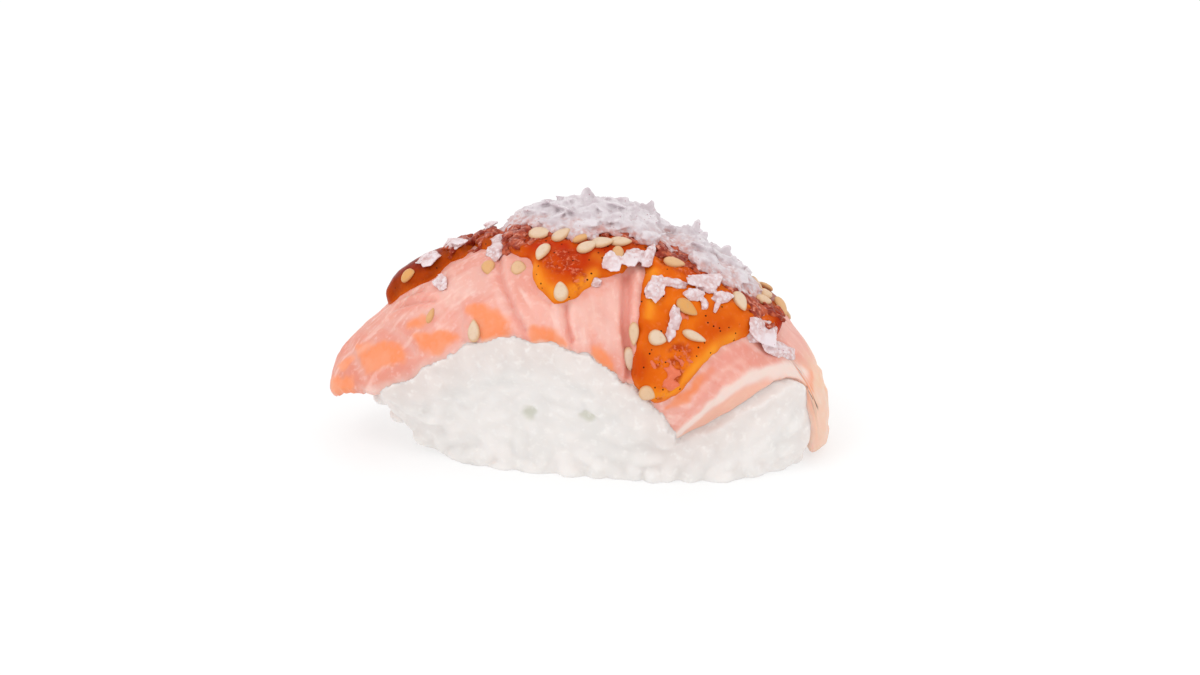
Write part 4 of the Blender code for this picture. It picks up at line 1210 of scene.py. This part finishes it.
def flake_shape(draw, half_length, half_width, thickness):
    """Thin jagged crystal plate: a rough outline, a lower face, and a faceted top that steps in."""
    count = int(draw.integers(*FLAKE_CORNERS))
    turns = (np.arange(count) + draw.uniform(-0.4, 0.4, count)) / count * math.tau
    reach = draw.uniform(0.62, 1.12, count)
    square = 1 / np.maximum(np.abs(np.cos(turns)), np.abs(np.sin(turns))) ** 0.5
    ring = np.stack([np.cos(turns) * half_length, np.sin(turns) * half_width], -1)
    ring = ring * (reach * square)[:, None]
    inner = ring * draw.uniform(0.45, 0.8, (count, 1))
    bend = draw.uniform(-0.12, 0.12)
    layers = []
    for plan, level, jitter in ((ring * 0.94, -0.5, 0.1), (ring, 0.1, 0.25), (inner, 0.5, 0.4)):
        height = thickness * (level + draw.uniform(-jitter, jitter, count))
        height = height + bend * plan[:, 0] ** 2 / half_length
        layers.append(np.column_stack([plan, height]))
    centre = [[0, 0, -0.5 * thickness], [draw.uniform(-0.2, 0.2), 0, thickness * draw.uniform(0.3, 0.8)]]
    points = np.concatenate(layers + [np.array(centre)])
    below, above = 3 * count, 3 * count + 1
    faces = []
    for step in range(count):
        ahead = (step + 1) % count
        faces.append((below, ahead, step))
        faces.append((step, ahead, count + ahead, count + step))
        faces.append((count + step, count + ahead, 2 * count + ahead, 2 * count + step))
        faces.append((2 * count + step, 2 * count + ahead, above))
    return points, faces


def crumb_shape(draw, size):
    """Small broken crystal."""
    ball, faces = unit_ball(5, 4)
    ragged = draw.uniform(0.6, 1.3, (len(ball), 1))
    return ball * ragged * size * np.array([1.0, 0.8, 0.6]), faces


def spike_shape(draw, half_width, height, thickness):
    """Upright crystal plate with a ragged tip, standing on z = 0 and facing along Y."""
    plan = np.array(SPIKE) * (half_width * draw.choice([-1.0, 1.0]), height)
    plan = plan + draw.uniform(-0.07, 0.07, plan.shape) * (2 * half_width, height)
    count = len(plan)
    front = np.column_stack([plan[:, 0], draw.uniform(-0.15, 0.15, count) - thickness / 2, plan[:, 1]])
    back = front + (0, thickness, 0)
    faces = [tuple(range(count)), tuple(range(2 * count - 1, count - 1, -1))]
    for step in range(count):
        ahead = (step + 1) % count
        faces.append((step, step + count, ahead + count, ahead))
    return np.concatenate([front, back]), faces


def add_flakes(heap, draw, field, flakes):
    """Flakes of a few layers, smaller from one to the next, on the glaze or in the pile."""
    for along, across, heading, half_length, half_width in flakes:
        turn = turned(math.radians(heading), "Z")
        half_length, half_width = half_length * FLAKE_SWELL, half_width * FLAKE_SWELL
        for layer, shrink in enumerate(FLAKE_LAYERS):
            points, faces = flake_shape(draw, half_length * shrink, half_width * shrink, FLAKE_THICK)
            shift = (draw.uniform(-0.3, 0.3) * half_length, draw.uniform(-0.3, 0.3) * half_width, 0)
            tilt = tilted(draw, *FLAKE_TILT)
            lift = 0.15 + 0.2 * layer + 0.9 * pile_height(along, across)
            place = field.laid_on(along, across, lift) @ turn @ Matrix.Translation(shift) @ tilt
            heap.add(moved(points, place), faces)


def add_crest(heap, draw, field):
    """Upright plates along the ridge, each with lower ones before and behind it."""
    for along, height, half in CREST:
        for tall, shift, ahead in CREST_GROUP:
            across = draw.uniform(*CREST_ACROSS) - ahead
            points, faces = spike_shape(draw, half, height * tall, draw.uniform(*CREST_THICK))
            turn = turned(draw.uniform(-CREST_TURN, CREST_TURN), "Z")
            lean = turned(draw.uniform(-1, 1) * CREST_LEAN, "X")
            heap.add(moved(points, field.laid_on(along + shift * half, across, 0.1) @ turn @ lean), faces)


def pile_near(along):
    return float(at_stations(PILE_NEAR, along))


def pile_height(along, across):
    """Height in mm of the pile over the glaze, and 0 outside it."""
    middle = np.clip(min(across - pile_near(along), PILE_FAR - across) / PILE_SLOPE, 0, 1)
    return float(at_stations(PILE_HEIGHT, along)) * math.sqrt(middle)


def add_bed(heap, draw, field):
    """Packed salt that fills the pile under its plates."""
    ball, faces = unit_ball(*SMALL_BALL)
    for along in np.arange(*PILE_SPAN, BED_GAP):
        for across in np.arange(pile_near(along) + 0.4, PILE_FAR, BED_GAP):
            height = pile_height(along, across)
            half = np.array([BED_HALF, BED_HALF, 0.35 + 0.45 * height]) * draw.uniform(0.8, 1.1, 3)
            spot = (along + draw.uniform(-0.3, 0.3), across + draw.uniform(-0.3, 0.3))
            heap.add(moved(ball * half, field.laid_on(*spot, 0.3 * height)), faces)


def add_pile(heap, draw, field):
    """Plates leaning on the bed, and crumbs, most of them at its near edge."""
    for _ in range(PILE_PLATES):
        along = draw.uniform(*PILE_SPAN)
        across = draw.uniform(pile_near(along) + 0.5, PILE_FAR)
        height = pile_height(along, across)
        half = draw.uniform(*PLATE_HALF) * (0.5 + 0.5 * min(height, 1.0))
        points, faces = flake_shape(draw, half, half * draw.uniform(0.6, 0.95), draw.uniform(0.3, 0.5))
        place = field.laid_on(along, across, draw.uniform(0.5, 0.95) * height) @ spun(draw, 0.1, 0.9)
        heap.add(moved(points, place), faces)
    for _ in range(PILE_CRUMBS):
        along = draw.uniform(*PILE_SPAN)
        near = pile_near(along) - CRUMB_REACH * draw.random() ** 2
        across = near + (PILE_FAR + 1.0 - near) * draw.random() ** 2.2
        points, faces = crumb_shape(draw, draw.uniform(*CRUMB_HALF))
        lift = draw.uniform(0.05, 0.25) + draw.uniform(0.6, 1.0) * pile_height(along, across)
        heap.add(moved(points, field.laid_on(along, across, lift) @ spun(draw, 0, 1.5)), faces)


def make_salt(material, field):
    """Lone flakes, and a pile of packed salt with plates and crumbs, fused where they touch."""
    draw = np.random.default_rng(SEED + 1)
    flakes = Heap()
    add_flakes(flakes, draw, field, LONE_FLAKES)
    pile = Heap()
    add_flakes(pile, draw, field, SET_FLAKES)
    add_bed(pile, draw, field)
    add_crest(pile, draw, field)
    add_pile(pile, draw, field)
    ground = field.tree()
    salt = Heap()
    for heap, voxel, lone in ((flakes, FLAKE_VOXEL, 1.0), (pile, PILE_VOXEL, 0.0)):
        points, faces, _ = heap.fused(voxel, 1).joined()
        height = np.array([ground.find_nearest(Vector(point))[3] for point in points])
        salt.add(points, faces, {"low": 1 - smooth(height, *SALT_STAINED), "lone": lone})
    salt.piece("salt_flakes", material, "salmon")


GRAIN_HALF = (2.95, 1.45, 1.4)
GRAIN_SIZES = (0.88, 1.08)
GRAIN_BEND = 0.35
GRAIN_TILT = 0.2
GRAIN_RINGS = (14, 12)
GRAIN_GAP = 2.3
GRAIN_SUNK = (1.05, 1.3)
GRAIN_PROUD = (0.75, 1.1)
EASE_ROUNDS = 9
# Grains that stand out of the left end, and their half size
END_LUMPS = [(-27.3, -2.5, 5.7), (-24.8, -2.9, 3.4)]
LUMP_HALF = (1.7, 2.2, 1.3)
GRAIN_PROUD_BELOW = 4.0
CORE_RINGS = (150, 100)
CORE_SHRINK = 0.2
RICE_VOXEL = 0.33
# How the rice swells out to the slice's edge: the edge is sunk by the first, and the rest limit the reach
SWELL_SUNK = -0.3
SWELL_FADE = 7.5
SWELL_MOST = (6.8, 9.0)
EDGE_COVER = 1.8
# How deep the rice lies under the slice's smooth top right at the edge, and how much that varies
COVER_LEVEL = 0.12
COVER_WAVE = 0.3
# Past the cut the rice rises again by this share
COVER_SLOPE = 0.75
# Small gaps between grains on the near side as (x, z, radius), pressed in and painted with greenish-grey
# shade
PITS = [(-4.4, 9.3, 1.3), (4.0, 9.9, 1.15)]
PIT_DEPTH = 0.35
# The line inside the rice from which it is pressed under the slice: its reach in x, and its y and z
SPINE_SPAN = (-20, 22)
SPINE_PLACE = (-0.3, 8.0)
# Below these heights the rice keeps its grains, above them they are eased
EASE_HEIGHTS = (1.5, 7.0)
# Steps along and across for the slice's rim and for the sheet over the rice, which goes on past the cut
RIM_STEPS = (160, 80)
COVER_STEPS = (166, 90)
COVER_END = 1.035


def rice_core(directions):
    """Where the smooth pad's surface lies in these directions from its middle."""
    x, y, z = directions.T
    plan_power, upper_power, lower_power = RICE_POWERS
    power = np.where(z > 0, upper_power, lower_power)
    plan = np.abs(x) ** plan_power + np.abs(y) ** plan_power
    reach = (plan ** (power / plan_power) + np.abs(z) ** power) ** (-1 / power)
    along = RICE_HALF[0] * reach * x
    height = RICE_WAIST + np.where(z > 0, RICE_RISE, RICE_DROP) * reach * z
    height = np.maximum(height, RICE_FLOOR)
    lift, start, length, fade = PROW
    prow = np.clip((-along - start) / length, 0, 1)
    height = height + lift * prow ** 2 * np.clip(1 - height / fade, 0, 1)
    along = along + PROW_TRIM[0] * prow ** 2 * np.clip(1 - height / PROW_TRIM[1], 0, 1)
    share, start, end, fade = BASE_NARROW
    narrow = 1 - share * smooth(-along, start, end) * np.clip(1 - height / fade, 0, 1)
    return np.stack([along + RICE_SHIFT[0], RICE_HALF[1] * reach * y * narrow + RICE_SHIFT[1], height], -1)


def slice_rim():
    """Points of the slice's upper rim, a little below it, and how much the rice comes up to each."""
    share = np.linspace(0, 1, RIM_STEPS[0])
    cross = np.linspace(-1, 1, RIM_STEPS[1])
    sides = [slice_place(share, np.full(len(share), side), False) for side in (-1.0, 1.0)]
    sides.append(slice_place(np.ones(len(cross)), cross, True))
    along, across = np.concatenate(sides, axis=1)
    sunk = SWELL_SUNK + CUT_DROP * cut_share(along, across)
    return lifted(along, across, -sunk), at_stations(SWELL_SHARE, along)


def point_normals(points, faces):
    """Outward direction at each point of a closed mesh of quads and triangles."""
    normals = np.zeros_like(points)
    for face in faces:
        corners = points[list(face)]
        normals[list(face)] += np.cross(corners[1] - corners[0], corners[2] - corners[0])
    return unit(normals)


def swollen(points, normals):
    """The pad's points moved out so that the rice comes up to the slice's edge."""
    rim, share = slice_rim()
    raised = points.copy()
    for index, (point, normal) in enumerate(zip(points, normals)):
        gap = rim - point
        rise = gap @ normal
        aside = np.sqrt(np.maximum((gap ** 2).sum(axis=1) - rise ** 2, 0))
        nearest = np.argmin(aside + 4 * (rise < 0) + 2 * np.maximum(rise - SWELL_MOST[0], 0))
        reach = 1 - smooth(rise[nearest], *SWELL_MOST)
        near = math.exp(-(aside[nearest] / SWELL_FADE) ** 2)
        raised[index] = point + normal * (share[nearest] * max(rise[nearest], 0) * reach * near)
    return raised


def slice_cover():
    """Sheet that the rice stays under: near the slice's top at its edge, below its lower face further in."""
    share = np.linspace(0, COVER_END, COVER_STEPS[0])
    share, cross = np.meshgrid(share, np.linspace(-1, 1, COVER_STEPS[1]), indexing="ij")
    along, across = slice_place(share, cross, True)
    inside = np.minimum(to_rim(along, across), (1 - share) * RIDGE_LENGTH)
    full = slice_depth(share, cross) + 0.25
    shallow = COVER_LEVEL + COVER_WAVE * uneven(along, across, 1.7, 51) + CUT_DROP * cut_share(along, across)
    shallow = shallow - COVER_SLOPE * (np.maximum(share - 1, 0) * RIDGE_LENGTH)
    depth = shallow + np.maximum(full - shallow, 0.3) * smooth(inside, 0.3, EDGE_COVER)
    return sheet_tree(lifted(along, across, -depth))


def pressed_under(points, cover):
    """Draws in whatever would stand in the slice."""
    spine = np.zeros_like(points) + (0.0, *SPINE_PLACE)
    spine[:, 0] = np.clip(points[:, 0], *SPINE_SPAN)
    pressed = points.copy()
    for index, (start, point) in enumerate(zip(spine, points)):
        ray = point - start
        length = np.linalg.norm(ray)
        hit = cover.ray_cast(Vector(start), Vector(ray / length), length)
        if hit[0] is not None:
            pressed[index] = start + ray / length * hit[3]
    return pressed


def spread_out(draw, points, normals, gap):
    """Indices of points at least a gap apart, in a random order."""
    kept = []
    for index in draw.permutation(len(points)):
        if points[index, 2] < -0.2 and normals[index, 2] < -0.8:
            continue
        if kept and np.min(((points[kept] - points[index]) ** 2).sum(axis=1)) < gap ** 2:
            continue
        kept.append(index)
    return kept


def eased(points, faces, weight, rounds):
    """Points drawn towards the middle of their neighbours, each by its weight."""
    faces = np.array(faces)
    start, end = faces.ravel(), np.roll(faces, -1, axis=1).ravel()
    count = np.bincount(start, minlength=len(points))[:, None]
    for _ in range(rounds):
        total = np.stack([np.bincount(start, points[end, axis], len(points)) for axis in range(3)], -1)
        points = points + (total / count - points) * weight[:, None]
    return points


def make_rice(material):
    """Grains of cooked rice pressed on a core, stuck together, flat below and hollowed under the slice."""
    draw = np.random.default_rng(SEED + 2)
    heap = Heap()
    ball, faces = unit_ball(*CORE_RINGS)
    core = rice_core(unit(ball))
    core = swollen(core, point_normals(core, faces))
    normals = point_normals(core, faces)
    heap.add(core - normals * CORE_SHRINK, faces)
    ball, faces = unit_ball(*GRAIN_RINGS)
    x, y, z = ball.T
    radius = np.hypot(y, z)
    full = np.where(radius > 0, (1 - np.abs(x) ** 2.6) ** 0.5 / np.maximum(radius, 1e-6), 0)
    for index in spread_out(draw, core, normals, GRAIN_GAP):
        half = np.array(GRAIN_HALF) * draw.uniform(*GRAIN_SIZES, 3)
        shape = np.stack([x, y * full, z * full], -1) * half
        shape[:, 1] += draw.uniform(-GRAIN_BEND, GRAIN_BEND) * x ** 2
        rotation = Vector(normals[index]).to_track_quat("Z", "Y").to_matrix().to_4x4()
        turn = turned(draw.uniform(0, math.tau), "Z") @ turned(draw.uniform(-GRAIN_TILT, GRAIN_TILT), "Y")
        depth = draw.uniform(*(GRAIN_PROUD if core[index, 2] < GRAIN_PROUD_BELOW else GRAIN_SUNK))
        sunk = core[index] - normals[index] * depth
        heap.add(moved(shape, Matrix.Translation(sunk) @ rotation @ turn), faces)
    for place in END_LUMPS:
        heap.add(ball * LUMP_HALF + place, faces)
    points, faces, _ = heap.fused(RICE_VOXEL, 4).joined()
    points = eased(points, faces, 0.5 * smooth(points[:, 2], *EASE_HEIGHTS), EASE_ROUNDS)

    points = pressed_under(points, slice_cover())
    # Pits pressed into the near side, with their mask for the painted shade in them
    pit_and_shade = np.zeros(len(points))
    x, y, z = points.T
    for pit_x, pit_z, size in PITS:
        away = np.hypot(x - pit_x, z - pit_z) + 0.35 * uneven(x, z, 0.9, 52) + 10.0 * (y > 0)
        pit_and_shade = np.maximum(pit_and_shade, 1 - smooth(away, 0.5 * size, 1.1 * size))
    points = points + unit(np.array([0.0, 0.0, RICE_WAIST]) - points) * (PIT_DEPTH * pit_and_shade)[:, None]
    points[:, 2] = np.maximum(points[:, 2], 0.0)
    # Rice near the slice's edge is painted darker and pinker, more on the left end: painted shade under the
    # slice
    rim, _ = slice_rim()
    near_rim = np.array([np.sqrt(np.min(((rim - point) ** 2).sum(axis=1))) for point in points])
    shade_share = 0.36 + 0.14 * (points[:, 0] < 0)
    stain_and_shade = 0.2 * (1 - smooth(near_rim, 0.2, 1.5)) + shade_share * (1 - smooth(near_rim, 1.0, 7.0))
    add_piece("rice_grains", points, faces, material, "rice", {"pit_and_shade": pit_and_shade, "stain_and_shade": stain_and_shade})


FLOOR_HALF = 4.0
# Lamps as name, place and size in metres, and power, and the place in the part that they face
LAMPS = [("key", (-0.25, -0.3, 0.55), 0.25, 0.6), ("fill", (0.4, -0.35, 0.35), 0.3, 0.2)]
LIT_PLACE = Vector((0, 0, 0.015))
WHITE = (1.0, 1.0, 1.0, 1.0)
# The camera stands this far from the anchor, which shows at this pixel of a 1200 by 675 image
IMAGE_SIZE = (1200, 675)
CAMERA_TURN = math.radians(10.0)
CAMERA_TILT = math.radians(22.0)
CAMERA_LENS = 85.0
CAMERA_SENSOR = 36.0
CAMERA_DISTANCE = 0.4
ANCHOR = Vector((-CENTRE[0] * MM, -CENTRE[1] * MM, 0.0))
ANCHOR_PIXEL = (578, 439)


def make_camera():
    """Camera at the photograph's angle, set so that the anchor shows at its pixel."""
    data = bpy.data.cameras.new("camera")
    data.lens = CAMERA_LENS
    data.sensor_width = CAMERA_SENSOR
    camera = put("camera", data)
    level = math.cos(CAMERA_TILT)
    back = Vector((math.sin(CAMERA_TURN) * level, -math.cos(CAMERA_TURN) * level, math.sin(CAMERA_TILT)))
    right = Vector((math.cos(CAMERA_TURN), math.sin(CAMERA_TURN), 0.0))
    up = back.cross(right)
    pixel = CAMERA_DISTANCE / (CAMERA_LENS / CAMERA_SENSOR * IMAGE_SIZE[0])
    aside = (ANCHOR_PIXEL[0] - IMAGE_SIZE[0] / 2) * pixel
    raised = (IMAGE_SIZE[1] / 2 - ANCHOR_PIXEL[1]) * pixel
    camera.matrix_world = Matrix((right, up, back)).transposed().to_4x4()
    camera.location = ANCHOR + back * CAMERA_DISTANCE - right * aside - up * raised
    bpy.context.scene.camera = camera


def make_lamp(name, place, size, power):
    """Soft round lamp that faces the part."""
    data = bpy.data.lights.new(name, "AREA")
    data.shape = "DISK"
    data.size = size
    data.energy = power
    lamp = put(name, data)
    lamp.location = place
    lamp.rotation_euler = (LIT_PLACE - Vector(place)).to_track_quat("-Z", "Y").to_euler()


def make_stage():
    """Pale floor, soft studio light and a white surround."""
    mesh = bpy.data.meshes.new("floor")
    corners = [(x * FLOOR_HALF, y * FLOOR_HALF, 0.0) for x, y in ((-1, -1), (1, -1), (1, 1), (-1, 1))]
    mesh.from_pydata(corners, [], [(0, 1, 2, 3)])
    floor = put("floor", mesh)
    look = Recipe("pale_floor", {
        "Roughness": 0.9, "Specular IOR Level": 0.1, "Emission Color": WHITE, "Emission Strength": 0.55,
    })
    look.colour = look.mix(look.noise(40.0, 2.0), (0.43, 0.43, 0.43, 1.0), (0.45, 0.45, 0.45, 1.0))
    mesh.materials.append(look.finish())
    world = bpy.data.worlds.new("surround")
    world.use_nodes = True
    background = world.node_tree.nodes["Background"]
    background.inputs["Color"].default_value = WHITE
    background.inputs["Strength"].default_value = 1.0
    bpy.context.scene.world = world
    for lamp in LAMPS:
        make_lamp(*lamp)
    bpy.context.scene.view_settings.view_transform = "Standard"


make_camera()
make_stage()
field = Field()
make_slice(salmon_look())
make_glaze(glaze_look(), field)
make_sesame(sesame_look(), field)
make_crust(crust_look(), field)
make_salt(salt_look(), field)
make_rice(rice_look())
